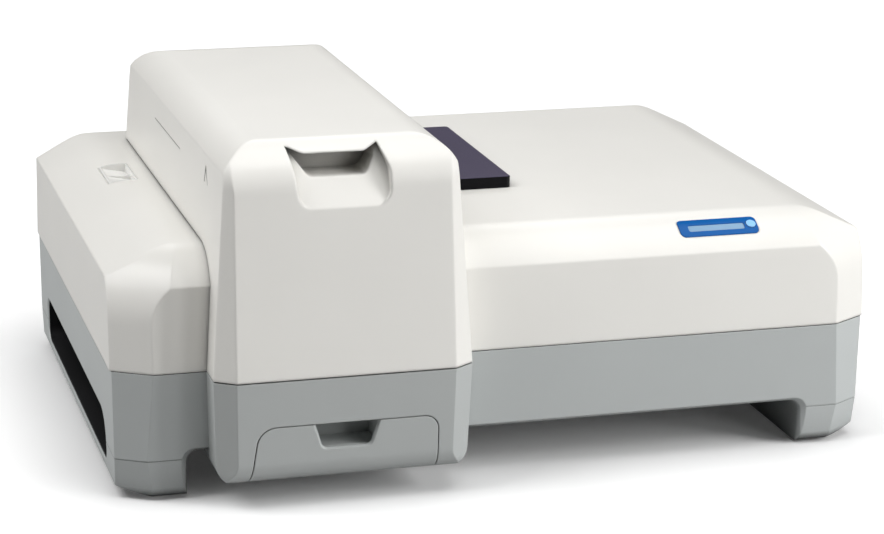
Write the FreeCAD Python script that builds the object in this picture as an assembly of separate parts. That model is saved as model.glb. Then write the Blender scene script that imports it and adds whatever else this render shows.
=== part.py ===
import FreeCAD, Part
import math
import os

# UV-vis spectrophotometer: a wide low bench instrument. A grey base housing on two full-depth
# runners carries a white top cover. The tall sample compartment lid and the grey bay below it
# stand out in front on the left. Light runs from the optics on the right through the sample
# compartment to the detectors on the left. Millimetres, +X right, -Y front, +Z up, origin under
# the middle of the overall box.

Vector = FreeCAD.Vector
UP = Vector(0, 0, 1)
FAR = 900.0                        # longer than anything here, for open-ended cuts

# Overall body
body_width = 622.0
overall_depth = 486.0
bay_overhang = 38.6                # how far the lid and the bay stand out of the body's front
seam_z = 104.5                     # parting line between grey base and white cover
deck_z = 193.7
lid_top_z = 281.0
front_y = -overall_depth / 2 + bay_overhang
back_y = overall_depth / 2
half_width = body_width / 2

# Body corners in plan, cut on the slant
corner_cut_x = 30.5
corner_cut_y = 18.3
rear_cut_x = 30.5
rear_cut_y = 12.0

# White cover
cover_wall = 3.0
cover_side_lean = 0.006            # how far a wall leans in for each mm of height
cover_front_lean = 0.073
cover_back_lean = 0.01
cover_corner_lean = 0.06
band_radius = 55.0                 # the round that runs from the deck down to the walls
band_front_out = 7.7               # how far the round's own wall lies outside the real one
band_side_lean = 2.22              # along the sides a slanted band takes the round's place
band_side_low_z = 174.3
band_side_round = 60.0
cover_back_radius = 10.0           # much tighter round along the rear

# Grey base
base_wall = 3.5
base_side_inset = 1.5              # the cover stands out over the base's sides
base_side_taper = 0.009
base_front_taper = 0.054
ground_gap = 1.5                   # the runners stay this far off the bench, on rubber pads
crease_z = 33.5                    # below this line the foot leans in
front_kick = 0.1
side_kick = 0.03
corner_kick = 0.16
back_kick = 0.35
foot_round = 10.0
skirt_z = 39.0                     # underside of the body between the runners
runner_inner_x = half_width - 57.0
runner_top_round = 9.0
sole_flat_x = half_width - 31.0    # outside this the runners' soles rise towards the sides
sole_rise = 0.32
sole_round = 40.0
mouth_draft = 0.2                  # the round at the channel's front end grows towards the bench
mouth_round_side = 4.0
mouth_round_top = 3.0
mouth_depth = 8.0
mouth_steps = 5
foot_groove_width = 0.6            # fine groove round the runners, at the crease
foot_groove_depth = 0.4
cover_gap = 0.6                    # dark line between cover and base

# Grip recesses in both side walls
grip_front_y = front_y + 59.4
grip_back_y = back_y - 52.0
grip_low_z = 16.0
grip_high_z = 55.0
grip_round = 12.0
grip_front_round = 24.0
grip_bevel = 3.0
grip_depth = 26.0
grip_liner_wall = 2.0
liner_gap = 0.3

# Lid over the sample compartment
lid_x = -half_width + 172.75       # middle of the lid and of the bay
lid_width = 202.9
lid_wall = 3.0
lid_side_lean = 0.069
lid_front_lean = 0.089
lid_cut_x = 15.8
lid_cut_y = 10.9
lid_rear_cut_x = 4.0
lid_rear_cut_y = 2.5
lid_corner_lean = 0.08
lid_back_y = back_y - 36.0
lid_side_radius = 32.0
lid_front_radius = 37.0
lid_back_radius = 54.0
lid_side_out = 2.1
lid_bottom_gap = 0.5               # between the lid's front skirt and the bay
lid_deck_gap = 1.5
lid_half = lid_width / 2
lid_front_y = -overall_depth / 2

# Finger scoop in the lid's front bend: a slanted dish, a lip above it and a hollow behind both
scoop_slope = 0.64                 # how far the dish goes back for each mm of height
dish_low_z = 233.5
dish_low_left = lid_x - 34.0
dish_low_right = lid_x + 36.0
dish_high_z = 260.0
dish_high_left = lid_x - 37.0
dish_high_right = lid_x + 37.0
dish_low_round = 13.0
dish_high_round = 12.0
lip_end_z = 277.9
lip_end_left = lid_x - 41.0
lip_end_right = lid_x + 30.0
lip_low_z = 273.0
lip_low_left = lid_x - 29.0
lip_low_right = lid_x + 18.0
lip_round = 14.0
hollow_floor_z = 255.0
hollow_floor_left = lid_x - 24.0
hollow_floor_right = lid_x + 20.5
hollow_side_z = 267.0
hollow_side_left = lid_x - 33.0
hollow_side_right = lid_x + 27.0
hollow_back = 42.0                 # from the front plane to the hollow's rear wall
hollow_round = 7.0

# Fine seam line on the lid's left wall
groove_width = 0.8
groove_depth = 0.7
groove_z = 243.0
groove_back_y = back_y - 180.0
groove_front_y = back_y - 297.0
tick_y = lid_front_y + 83.0        # short forked mark near the front bend
tick_low_z = 241.0
tick_high_z = 254.0
tick_front_run = 10.0
tick_back_run = 4.5
tick_width = 1.4
tick_depth = 2.5

# Grey bay under the lid
bay_wall = 3.0
bay_low_z = 19.5
bay_side_taper = 0.03
bay_front_taper = 0.054
bay_side_round = 17.0
bay_front_round = 20.0
bay_corner_round = 11.0
bay_back_y = front_y + 54.4        # rear end of the bay's belly under the body

# Access flap in the bay's front
flap_x = lid_x - 1.25
flap_width = 147.0
flap_top_z = 67.0
flap_round = 11.0
flap_left_round = 15.0
flap_left_lean = 7.0               # the left edge leans in towards the top
flap_gap = 0.7
flap_foot = 17.0                   # how far the flap wraps under the bay
flap_back_gap = 2.2                # room for the flap's rear edge to turn
flap_pin_radius = 1.2
flap_pin_length = 6.0
notch_x = lid_x + 0.2
notch_width = 49.0
notch_floor_width = 37.5
notch_depth = 19.5
notch_round = 5.0
notch_bevel = 1.6
cup_gap = 2.4                      # finger cup behind the notch, clear of the flap's back
cup_wall = 2.0
cup_depth = 28.0
cup_rise = 3.0

# Dark strip on the deck right of the lid
strip_left_x = lid_x + 118.25
strip_right_x = strip_left_x + 70.0
strip_front_y = front_y + 156.4
strip_back_y = back_y - 98.0
strip_height = 9.8
strip_round = 4.0
strip_edge = 1.2

# Small latch pocket in the left deck: an insert whose floor slopes down to the right
tab_left_x = -half_width + 39.0
tab_right_x = -half_width + 63.0
tab_front_y = back_y - 193.0
tab_back_y = back_y - 134.0
tab_rim = 1.5
tab_depth = 7.0
tab_shallow = 3.4
tab_rib = 1.6
tab_fit = 0.1

# Status bar with the standby key, on the front band
status_right_x = half_width - 95.0
status_left_x = status_right_x - 67.0
status_front_y = front_y + 14.9
status_back_y = status_front_y + 15.8
status_round = 4.0
status_proud = 0.5
status_depth = 1.4
status_fit = 0.2
glow_width = 48.0
glow_left = 7.8
glow_length = 6.0                  # front to back
glow_front = 3.7
glow_depth = 0.7
key_radius = 4.0
key_from_right = 5.3
key_gap = 0.25
key_proud = 0.6
key_collar = 1.0
key_collar_rim = 1.5
key_travel = 0.8
key_board_thickness = 1.6
key_board_width = 34.0
key_board_depth = 17.0
key_switch_size = 6.2
key_switch_height = 3.5

# Structure inside the base
chassis_thickness = 4.0
chassis_side_gap = 2.5
chassis_front_gap = 9.0
chassis_back_gap = 6.0
pad_radius = 11.0
pad_sink = 2.0
pad_inset_x = 43.0                 # pad centre from the side wall
pad_front_y = front_y + 54.4
pad_back_y = back_y - 53.0

# Sample compartment tub
tub_wall = 3.0
tub_floor_z = 75.0
tub_inner_width = lid_width - 42.9
tub_front_y = lid_front_y + 17.0
tub_back_y = back_y - 173.0
tub_front_top = 15.5               # height of the low front lip above the seam
tub_slope_y = tub_front_y + 30.0
tub_slope_z = 155.0
tub_flange = 7.5
tub_flange_thickness = 1.2
tub_clearance = 1.5
tub_leg = 14.0
gasket_width = 4.0
gasket_height = 2.4

# Beams
beam_z = 105.0
sample_y = tub_front_y + 104.0
reference_y = sample_y + 60.0
window_radius = 9.0
window_opening_radius = 7.5
window_thickness = 2.0
fit_gap = 0.1

# Cell holders
holder_plate_x = 96.0
holder_plate_thickness = 6.0
holder_margin = 26.0
holder_size = 24.0
holder_height = 46.0
cell_size = 12.5
cell_height = 45.0
cell_wall = 1.25
cell_gap = 0.15
cell_below_beam = 15.0
beam_hole_radius = 4.0
thumb_radius = 6.0
thumb_height = 10.0
thumb_slots = 16

# Detectors
detector_radius = 9.0
detector_eye_radius = 5.4
detector_length = 15.0
detector_gap = 4.0                 # from the tub wall
detector_plate = 3.0
detector_plate_top = 135.0
detector_board_gap = 8.0
spacer_rise = 27.0                 # lower board spacers above the chassis
board_thickness = 1.6

# Optics bench
mount_height = 10.0
mount_radius = 9.0
bench_left_x = lid_x + 113.25
bench_right_x = half_width - 86.0
bench_front_y = front_y + 34.4
bench_back_y = back_y - 75.0
bench_thickness = 6.0
lamp_x = bench_right_x - 45.0
exit_x = lamp_x - 112.0
lamp_box = 60.0
lamp_box_wall = 3.0
lamp_front_y = bench_front_y + 4.0
lamp_box_height = 70.0
lamp_radius = 13.0
lamp_nose_radius = 7.8
lamp_length = 34.0
wheel_y = lamp_front_y + lamp_box + 16.0
wheel_radius = 27.0
wheel_thickness = 3.0
wheel_filter_radius = 17.0
wheel_filter_hole = 5.5
wheel_filters = 6
filter_thickness = 1.0
motor_size = 28.0
motor_length = 28.0
motor_shaft_radius = 2.5
shaft_gap = 0.05
motor_bracket = 3.0
motor_bracket_gap = 1.0            # round the shaft
wheel_bracket_gap = 3.0
slit_y = wheel_y + 52.0
slit_plate = 2.0
slit_plate_width = 30.0
slit_plate_top = 121.0
slit_width = 1.0
slit_height = 9.0
mirror_y = bench_back_y - 30.0
mirror_radius = 23.0
mirror_thickness = 8.0
mirror_block = 14.0
mirror_tilt = 10.0
turret_x = (lamp_x + exit_x) / 2
turret_y = slit_y + 44.0
turret_radius = 17.0
turret_thickness = 5.0
turret_gap = 1.5
turret_motor_height = 20.0
grating_width = 32.0
grating_height = 30.0
grating_thickness = 6.0
grating_back = 5.0
grating_back_inset = 2.0
splitter_width = 20.0
splitter_thickness = 3.0
splitter_post = 8.0
splitter_angle = -45.0

# Electronics
supply_left_x = bench_left_x + 65.0
supply_length = 150.0
supply_depth = 45.0
supply_height = 44.0
supply_gap = 1.5                   # behind the optics bench
standoff_height = 6.0
standoff_radius = 3.0
board_left_x = -half_width + 81.0
board_right_x = board_left_x + 170.0
board_back_y = back_y - 21.0
board_front_y = board_back_y - 130.0

# Rear connector panel
panel_left_x = -half_width + 101.0
panel_right_x = half_width - 66.0
panel_low_z = 49.0
panel_high_z = 99.0
panel_thickness = 2.0
panel_margin = 6.0                 # how far the panel passes the window in the base's back wall
panel_window_round = 5.0
connector_z = 74.0
fan_x = panel_right_x - 40.0
switch_x = fan_x - 70.0
inlet_x = switch_x - 40.0
inlet_width = 28.0
inlet_height = 20.0
inlet_depth = 22.0
inlet_rim = 3.0
inlet_proud = 2.2
socket_width = 22.0
socket_height = 14.0
socket_cut = 4.5
socket_round = 1.0
contact_width = 4.0
contact_thickness = 2.0
contact_pitch = 7.0
contact_rise = 2.0
switch_width = 22.0
switch_height = 16.0
switch_depth = 16.0
rocker_width = 17.0
rocker_height = 11.5
rocker_gap = 0.4
rocker_angle = 12.0
rocker_sink = 1.0                  # axle behind the panel's outer face
rocker_tip_out = 3.2               # the rocker's profile, measured from its axle
rocker_waist_out = 2.0
rocker_side_in = 1.5
rocker_keel_in = 4.5
rocker_round = 0.6
rocker_axle_radius = 1.2
rocker_axle_length = 20.0
switch_rim = 1.5
switch_proud = 1.2
usb_x = panel_left_x + 50.0
usb_pitch = 22.0
usb_width = 14.5
usb_height = 13.5
usb_depth = 17.0
usb_proud = 1.2
usb_wall = 1.2
fan_size = 40.0
fan_depth = 15.0
fan_wall = 1.2
fan_hub_radius = 10.0
fan_frame_floor = 2.0
fan_spokes = 4
fan_spoke_width = 2.4
fan_pin_radius = 1.5
fan_pin_short = 4.0                # the pin ends this far inside the frame's depth
fan_blades = 7
fan_blade_gap = 0.8
fan_blade_twist = 32.0
fan_blade_thickness = 1.2
guard_wire = 1.2
guard_rings = 3
guard_arms = 4
guard_reach = 24.0

# Lid hinge and catch
pivot_behind = 5.0                 # from the hinge line back to the lid's back plane
pivot_above = 13.3                 # hinge line above the deck
hinge_spread = 66.0
knuckle_width = 22.0
knuckle_radius = 5.5
knuckle_gap = 0.5
ear_width = 6.0
pin_radius = 2.5
pin_gap = 0.05
bracket_length = 28.0
bracket_thickness = 3.0
liner_thickness = 2.5
liner_rise = 9.0                   # liner panel above the deck
liner_rib = 3.0
liner_behind = 40.0                # liner panel behind the tub's flange
magnet_radius = 5.0
magnet_thickness = 4.0
magnet_behind = 15.0               # magnet behind the tub's flange
sensor_gap = 1.0


def wire(corners, place):
    """Closed outline through (a, b, radius) corners, each rounded by its own radius."""
    parts = []
    count = len(corners)
    for index, (a, b, radius) in enumerate(corners):
        here = Vector(a, b, 0)
        last = corners[index - 1]
        following = corners[(index + 1) % count]
        back = (Vector(last[0], last[1], 0) - here).normalize()
        ahead = (Vector(following[0], following[1], 0) - here).normalize()
        if radius == 0:
            parts.append((here, None, here))
            continue
        half = back.getAngle(ahead) / 2
        reach = radius / math.tan(half)
        middle = here + (back + ahead).normalize() * (radius / math.sin(half) - radius)
        parts.append((here + back * reach, middle, here + ahead * reach))
    edges = []
    for index, (start, middle, end) in enumerate(parts):
        if middle is not None:
            edges.append(Part.Arc(place(start), place(middle), place(end)).toShape())
        after = parts[(index + 1) % count][0]
        if after.distanceToPoint(end) > 1e-6:
            edges.append(Part.makeLine(place(end), place(after)))
    return Part.Wire(edges)


def solid(corners, place, push):
    """The outline filled and pushed along one vector."""
    return Part.Face(wire(corners, place)).extrude(push)


def prism_z(corners, low, high):
    return solid(corners, lambda p: Vector(p.x, p.y, low), UP * (high - low))


def prism_y(corners, low, high):
    """Corners are (x, z, radius)."""
    return solid(corners, lambda p: Vector(p.x, low, p.y), Vector(0, high - low, 0))


def prism_x(corners, low, high):
    """Corners are (y, z, radius)."""
    return solid(corners, lambda p: Vector(low, p.x, p.y), Vector(high - low, 0, 0))


def rectangle(left, right, low, high, radius=0.0):
    return [(left, low, radius), (right, low, radius), (right, high, radius), (left, high, radius)]


def box(left, right, front, back, low, high):
    return Part.makeBox(right - left, back - front, high - low, Vector(left, front, low))


def rod(centre, direction, radius, length):
    return Part.makeCylinder(radius, length, centre, direction)


def meet(shapes):
    result = shapes[0]
    for shape in shapes[1:]:
        result = result.common(shape)
    return result


def join(shapes):
    return shapes[0].fuse(shapes[1:]).removeSplitter()


def save(name, shape):
    """One sub-part to its own file; several loose solids stay a group."""
    solids = shape.Solids
    result = solids[0] if len(solids) == 1 else Part.makeCompound(solids)
    result.exportStep("parts/" + name + ".step")


def slab(angle, corners, origin):
    """Everything inside one outer wall. Corners are (outward, height, radius) as seen along it."""
    turn = math.radians(angle)
    out = Vector(math.cos(turn), math.sin(turn), 0)
    along = Vector(-math.sin(turn), math.cos(turn), 0)
    start = origin - along * FAR
    return solid(corners, lambda p: start + out * p.x + UP * p.y, along * (2 * FAR))


def upper_wall(angle, reach, lean, radius, low, top, level, origin=Vector(0, 0, 0)):
    """A wall that leans in from `level` upward and rounds over into a flat top."""
    foot = reach - lean * (low - level)
    head = reach - lean * (top - level)
    return slab(angle, [(-FAR, low, 0), (foot, low, 0), (head, top, radius), (-FAR, top, 0)], origin)


def lower_wall(angle, reach, taper, low, crease, kick, radius, top, origin=Vector(0, 0, 0)):
    """A wall that tapers in from the seam down to a crease and leans in more below it."""
    at_crease = reach - taper * (seam_z - crease)
    foot = at_crease - kick * (crease - low)
    head = reach + taper * (top - seam_z)
    return slab(angle, [(-FAR, low, 0), (foot, low, radius), (at_crease, crease, 0), (head, top, 0),
                        (-FAR, top, 0)], origin)


def belly_wall(angle, reach, taper, low, radius, top, origin):
    """A wall that tapers in from the seam down and rounds under into a flat bottom."""
    foot = reach - taper * (seam_z - low)
    head = reach + taper * (top - seam_z)
    return slab(angle, [(-FAR, low, 0), (foot, low, radius), (head, top, 0), (-FAR, top, 0)], origin)


def corner_walls(half, front, back, cut_x, cut_y, back_cut_x, back_cut_y):
    """Angle and reach of the four slanted corner walls of a plan."""
    found = []
    for side in (-1, 1):
        for edge, run_x, run_y, way in ((front, cut_x, cut_y, -1), (back, back_cut_x, back_cut_y, 1)):
            out = Vector(side * run_y, way * run_x, 0).normalize()
            found.append((math.degrees(math.atan2(out.y, out.x)),
                          out.dot(Vector(side * half, edge - way * run_y, 0)), way))
    return found


RIGHT, BACK, LEFT, FRONT = 0.0, 90.0, 180.0, 270.0


def cover_form(inset, low=seam_z):
    """The white cover's outer shape, moved in by `inset`: a wide pillow cut by four flat walls."""
    radius = band_radius - inset
    rear_radius = cover_back_radius - inset
    top = deck_z - inset
    walls = []
    for angle in (RIGHT, LEFT):
        walls.append(upper_wall(angle, half_width - inset, cover_side_lean, 0, low, top, seam_z))
        walls.append(upper_wall(angle, half_width - inset * math.hypot(1, band_side_lean),
                                band_side_lean, band_side_round - inset, low, top,
                                band_side_low_z))
    walls.append(upper_wall(FRONT, -front_y - inset, cover_front_lean, 0, low, top, seam_z))
    walls.append(upper_wall(FRONT, -front_y + band_front_out - inset, cover_front_lean, radius,
                            low, top, seam_z))
    walls.append(upper_wall(BACK, back_y - inset, cover_back_lean, rear_radius, low, top, seam_z))
    for angle, reach, way in corner_walls(half_width, front_y, back_y, corner_cut_x, corner_cut_y,
                                          rear_cut_x, rear_cut_y):
        walls.append(upper_wall(angle, reach - inset, cover_corner_lean,
                                radius if way < 0 else rear_radius, low, top, seam_z))
    return meet(walls)


def base_form(inset):
    """The grey base's outer shape, moved in by `inset`."""
    low = ground_gap + inset
    top = seam_z - cover_gap if inset == 0 else seam_z + inset
    radius = foot_round - inset
    walls = []
    for angle in (RIGHT, LEFT):
        walls.append(lower_wall(angle, half_width - base_side_inset - inset, base_side_taper, low,
                                crease_z, side_kick, radius, top))
    walls.append(lower_wall(FRONT, -front_y - inset, base_front_taper, low, crease_z, front_kick,
                            radius, top))
    walls.append(lower_wall(BACK, back_y - inset, base_side_taper, low, crease_z, back_kick,
                            radius, top))
    for angle, reach, way in corner_walls(half_width, front_y, back_y, corner_cut_x, corner_cut_y,
                                          rear_cut_x, rear_cut_y):
        walls.append(lower_wall(angle, reach - inset, base_side_taper, low, crease_z, corner_kick,
                                radius, top))
    side_x = sole_flat_x + half_width
    side_z = low + sole_rise * half_width
    walls.append(prism_y([(-sole_flat_x, low, sole_round), (sole_flat_x, low, sole_round),
                          (side_x, side_z, 0), (side_x, FAR, 0), (-side_x, FAR, 0),
                          (-side_x, side_z, 0)], -FAR, FAR))
    return meet(walls)


def channel_outline(side_grow, top_grow, draft=0):
    """The way under the body as seen from the front."""
    half = runner_inner_x + side_grow
    top = skirt_z + top_grow
    foot = half + draft * (top + foot_round)
    radius = runner_top_round + top_grow
    return [(-foot, -foot_round, 0), (foot, -foot_round, 0), (half, top, radius), (-half, top, radius)]


def channel(grow):
    """The open way under the body, between the runners."""
    return prism_y(channel_outline(grow, grow), -FAR, FAR)


def channel_mouth():
    """The channel's front end, flared in a quarter round."""
    wires = []
    for step in range(mouth_steps):
        turn = math.radians(90 * step / (mouth_steps - 1))
        depth = front_y + base_front_taper * (seam_z - skirt_z) + mouth_depth * math.sin(turn)
        share = 1 - math.cos(math.asin(1 - math.sin(turn)))
        wires.append(wire(channel_outline(mouth_round_side * share, mouth_round_top * share,
                                          mouth_draft * share),
                          lambda p, depth=depth: Vector(p.x, depth, p.y)))
    outer = wire(channel_outline(mouth_round_side, mouth_round_top, mouth_draft),
                 lambda p: Vector(p.x, 2 * front_y, p.y))
    return Part.makeLoft([outer] + wires, True, True)


def grip_outline(grow):
    return [(grip_front_y - grow, grip_low_z - grow, grip_round + grow),
            (grip_back_y + grow, grip_low_z - grow, grip_round + grow),
            (grip_back_y + grow, grip_high_z + grow, grip_round + grow),
            (grip_front_y - grow, grip_high_z + grow, grip_front_round + grow)]


def mirrored(shape):
    return shape.mirror(Vector(0, 0, 0), Vector(1, 0, 0))


def bay_form(inset):
    """The grey bay's outer shape, moved in by `inset`."""
    origin = Vector(lid_x, 0, 0)
    low = bay_low_z + inset
    top = seam_z - cover_gap if inset == 0 else seam_z + inset
    walls = []
    for angle in (RIGHT, LEFT):
        walls.append(belly_wall(angle, lid_half - inset, bay_side_taper, low, bay_side_round - inset,
                                top, origin))
    walls.append(belly_wall(FRONT, -lid_front_y - inset, bay_front_taper, low,
                            bay_front_round - inset, top, origin))
    walls.append(belly_wall(BACK, bay_back_y - inset, 0, low, bay_corner_round - inset, top, origin))
    for angle, reach, way in corner_walls(lid_half, lid_front_y, lid_back_y, lid_cut_x, lid_cut_y,
                                          lid_cut_x, lid_cut_y):
        if way < 0:
            walls.append(belly_wall(angle, reach - inset, bay_front_taper, low,
                                    bay_corner_round - inset, top, origin))
    return meet(walls)


def lid_form(inset):
    """The lid's outer shape, moved in by `inset`, down to the seam all round."""
    origin = Vector(lid_x, 0, 0)
    low = seam_z + lid_bottom_gap if inset == 0 else seam_z - inset
    top = lid_top_z - inset
    walls = []
    for angle in (RIGHT, LEFT):
        walls.append(upper_wall(angle, lid_half - inset, lid_side_lean, 0, low, top, seam_z, origin))
        walls.append(upper_wall(angle, lid_half + lid_side_out - inset, lid_side_lean,
                                lid_side_radius - inset, low, top, seam_z, origin))
    walls.append(upper_wall(FRONT, -lid_front_y - inset, lid_front_lean, lid_front_radius - inset,
                            low, top, seam_z, origin))
    walls.append(upper_wall(BACK, lid_back_y - inset, 0, lid_back_radius - inset,
                            low, top, seam_z, origin))
    for angle, reach, way in corner_walls(lid_half, lid_front_y, lid_back_y, lid_cut_x, lid_cut_y,
                                          lid_rear_cut_x, lid_rear_cut_y):
        walls.append(upper_wall(angle, reach - inset, lid_corner_lean, lid_side_radius - inset,
                                low, top, seam_z, origin))
    return meet(walls)


def lid_front_at(height):
    """Where the lid's front plane stands at a height."""
    return lid_front_y + lid_front_lean * (height - seam_z)


def scoop(grow):
    """The finger scoop: a slanted dish in the front bend and a hollow behind it, under a lip."""
    if grow > 0:
        lip = [(lip_end_right + grow, FAR, 0), (lip_end_left - grow, FAR, 0)]
    else:
        lip = [(lip_end_right, lip_end_z, 0), (lip_low_right, lip_low_z, lip_round),
               (lip_low_left, lip_low_z, lip_round), (lip_end_left, lip_end_z, 0)]
    low = dish_low_z - grow
    dish_outline = [(dish_low_left - grow, low, dish_low_round),
                    (dish_low_right + grow, low, dish_low_round),
                    (dish_high_right + grow, dish_high_z, dish_high_round)]
    dish_outline += lip + [(dish_high_left - grow, dish_high_z, dish_high_round)]
    dish_foot = lid_front_at(dish_low_z) + grow
    dish_head = dish_foot + scoop_slope * (lid_top_z - low)
    dish = prism_y(dish_outline, -FAR, FAR).common(
        prism_x([(-FAR, low, 0), (dish_foot, low, 0), (dish_head, lid_top_z, 0),
                 (dish_head, FAR, 0), (-FAR, FAR, 0)], -FAR, FAR))
    floor = hollow_floor_z - grow
    side = [(hollow_side_right + grow, hollow_side_z, 0)]
    other_side = [(hollow_side_left - grow, hollow_side_z, 0)]
    hollow_outline = [(hollow_floor_left - grow, floor, hollow_round),
                      (hollow_floor_right + grow, floor, hollow_round)] + side
    if grow > 0:
        hollow_outline += [(lip_end_right + grow, lip_end_z, 0)]
        other_side = [(lip_end_left - grow, lip_end_z, 0)] + other_side
    hollow_outline += lip + other_side
    return dish.fuse(prism_y(hollow_outline, -FAR, lid_front_at(lip_low_z) + hollow_back + grow))


def lid_side_at(height):
    """Half of the lid's width at a height."""
    return lid_half - lid_side_lean * (height - seam_z)


os.makedirs("parts", exist_ok=True)

# Grey base housing with runners, grip slots, rear window and the way into the bay
cavity = base_form(base_wall).cut(channel(base_wall))
foot_groove = box(-FAR, FAR, -FAR, FAR, crease_z - foot_groove_width / 2,
                  crease_z + foot_groove_width / 2).cut(base_form(foot_groove_depth))
base_solid = base_form(0).cut([channel(0), channel_mouth(), foot_groove])
liner_back_x = half_width - grip_depth
grip_cut = prism_x(grip_outline(0), liner_back_x, FAR)
grip_mouth_x = half_width - base_side_taper * (seam_z - grip_high_z)
near_outline = wire(grip_outline(0), lambda p: Vector(grip_mouth_x - grip_bevel, p.x, p.y))
far_outline = wire(grip_outline(2 * grip_bevel), lambda p: Vector(grip_mouth_x + grip_bevel, p.x, p.y))
grip_flare = Part.makeLoft([near_outline, far_outline], True, True)
tub_half = tub_inner_width / 2 + tub_wall
tub_left_x = lid_x - tub_half
tub_right_x = lid_x + tub_half
tub_low_z = tub_floor_z - tub_wall
bay_mouth = box(tub_left_x - tub_clearance, tub_right_x + tub_clearance, -FAR, 0,
                tub_low_z - tub_clearance, FAR)
window_left = panel_left_x + panel_margin
window_right = panel_right_x - panel_margin
rear_window = prism_y(rectangle(window_left, window_right, panel_low_z + panel_margin / 2,
                                panel_high_z - panel_margin / 2, panel_window_round), 0, FAR)
pads = []
pad_seats = []
for side in (-1, 1):
    for pad_y in (pad_front_y, pad_back_y):
        spot = Vector(side * (half_width - pad_inset_x), pad_y, 0)
        pads.append(rod(spot, UP, pad_radius, ground_gap + pad_sink))
        pad_seats.append(rod(spot, UP, pad_radius + fit_gap, ground_gap + pad_sink))
base = base_solid.cut([cavity, grip_cut, mirrored(grip_cut), grip_flare, mirrored(grip_flare),
                       bay_mouth, rear_window] + pad_seats)
save("base_housing", base)
save("foot_pads", Part.makeCompound(pads))

# Black liners close the two grip slots from inside
liner_mouth_x = grip_mouth_x - grip_bevel
liner = prism_x(grip_outline(-liner_gap), liner_back_x, liner_mouth_x).cut(
    prism_x(grip_outline(-liner_gap - grip_liner_wall), liner_back_x + grip_liner_wall, FAR))
save("right_grip_liner", liner)
save("left_grip_liner", mirrored(liner))

# White top cover with the compartment's way in, the status bar's seat and the key's hole
cover_shell = cover_form(0).cut(cover_form(cover_wall, seam_z - cover_wall))
cover_mouth = box(tub_left_x - tub_clearance, tub_right_x + tub_clearance, -FAR,
                  tub_back_y + tub_wall + tub_clearance, 0, FAR)
band_centre_y = front_y - band_front_out + cover_front_lean * (deck_z - band_radius - seam_z) \
    + band_radius * math.hypot(1, cover_front_lean)
band_centre_z = deck_z - band_radius
key_y = (status_front_y + status_back_y) / 2
key_tilt = math.asin((band_centre_y - key_y) / band_radius)
key_out = Vector(0, -math.sin(key_tilt), math.cos(key_tilt))
key_x = status_right_x - key_from_right
key_seat = Vector(key_x, band_centre_y, band_centre_z)
key_hole = rod(key_seat, key_out, key_radius + key_gap, FAR)
status_outline = rectangle(status_left_x, status_right_x, status_front_y, status_back_y, status_round)
wide_outline = rectangle(status_left_x - status_fit, status_right_x + status_fit,
                         status_front_y - status_fit, status_back_y + status_fit,
                         status_round + status_fit)
status_bed = cover_form(status_depth, 0)
status_seat = prism_z(wide_outline, seam_z, FAR).cut(status_bed)
tab_seat = box(tab_left_x - tab_fit, tab_right_x + tab_fit, tab_front_y - tab_fit, tab_back_y + tab_fit,
               0, FAR)
cover = cover_shell.cut([cover_mouth, status_seat, key_hole, tab_seat])
save("top_cover", cover)

# Blue status bar, its light strip and the standby key
status_skin = cover_form(-status_proud, 0).cut(status_bed)
status_blank = prism_z(status_outline, seam_z, FAR).common(status_skin)
glow_x = status_left_x + glow_left
glow_y = status_front_y + glow_front
glow_prism = prism_z(rectangle(glow_x, glow_x + glow_width, glow_y, glow_y + glow_length,
                               glow_length / 4), seam_z, FAR)
glow = glow_prism.common(cover_form(0, 0)).cut(cover_form(glow_depth, 0))
save("status_bar", status_blank.cut([glow_prism.cut(cover_form(glow_depth, 0)), key_hole]))
save("status_light", glow)
key_tip = band_radius + status_proud + key_proud
key_ceiling = math.sqrt((band_radius - cover_wall) ** 2 - (key_radius + key_collar_rim) ** 2)
key_foot = key_ceiling - key_gap - key_collar
key_stem = rod(key_seat + key_out * key_foot, key_out, key_radius, key_tip - key_foot)
key_ring = rod(key_seat + key_out * key_foot, key_out, key_radius + key_collar_rim, key_collar)
save("standby_key", join([key_stem, key_ring]))

# Grey bay under the lid, with its access flap on two pins
bay_shell = bay_form(0).cut([bay_form(bay_wall), base_solid])
flap_back_y = lid_front_y + bay_front_taper * (seam_z - bay_low_z) + flap_foot
flap_left_x = flap_x - flap_width / 2
flap_right_x = flap_x + flap_width / 2
flap_pivot = Vector(flap_x, flap_back_y, bay_low_z + bay_wall / 2)


def flap_block(gap, back_gap):
    head_left = flap_left_x + flap_left_lean - gap
    lean = flap_left_lean / (flap_top_z - bay_low_z)
    return prism_y([(flap_left_x - gap - lean * bay_low_z, 0, 0), (flap_right_x + gap, 0, 0),
                    (flap_right_x + gap, flap_top_z + gap, flap_round + gap),
                    (head_left, flap_top_z + gap, flap_left_round + gap)],
                   -FAR, flap_back_y + back_gap)


def notch_wire(grow, at_y):
    slope = (notch_width - notch_floor_width) / 2 / notch_depth
    head = notch_floor_width / 2 + grow + slope * 2 * notch_depth
    foot = notch_floor_width / 2 + grow
    low = flap_top_z - notch_depth - grow
    high = flap_top_z + notch_depth
    return wire([(notch_x - head, high, 0), (notch_x - foot, low, notch_round),
                 (notch_x + foot, low, notch_round), (notch_x + head, high, 0)],
                lambda p: Vector(p.x, at_y, p.y))


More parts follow.
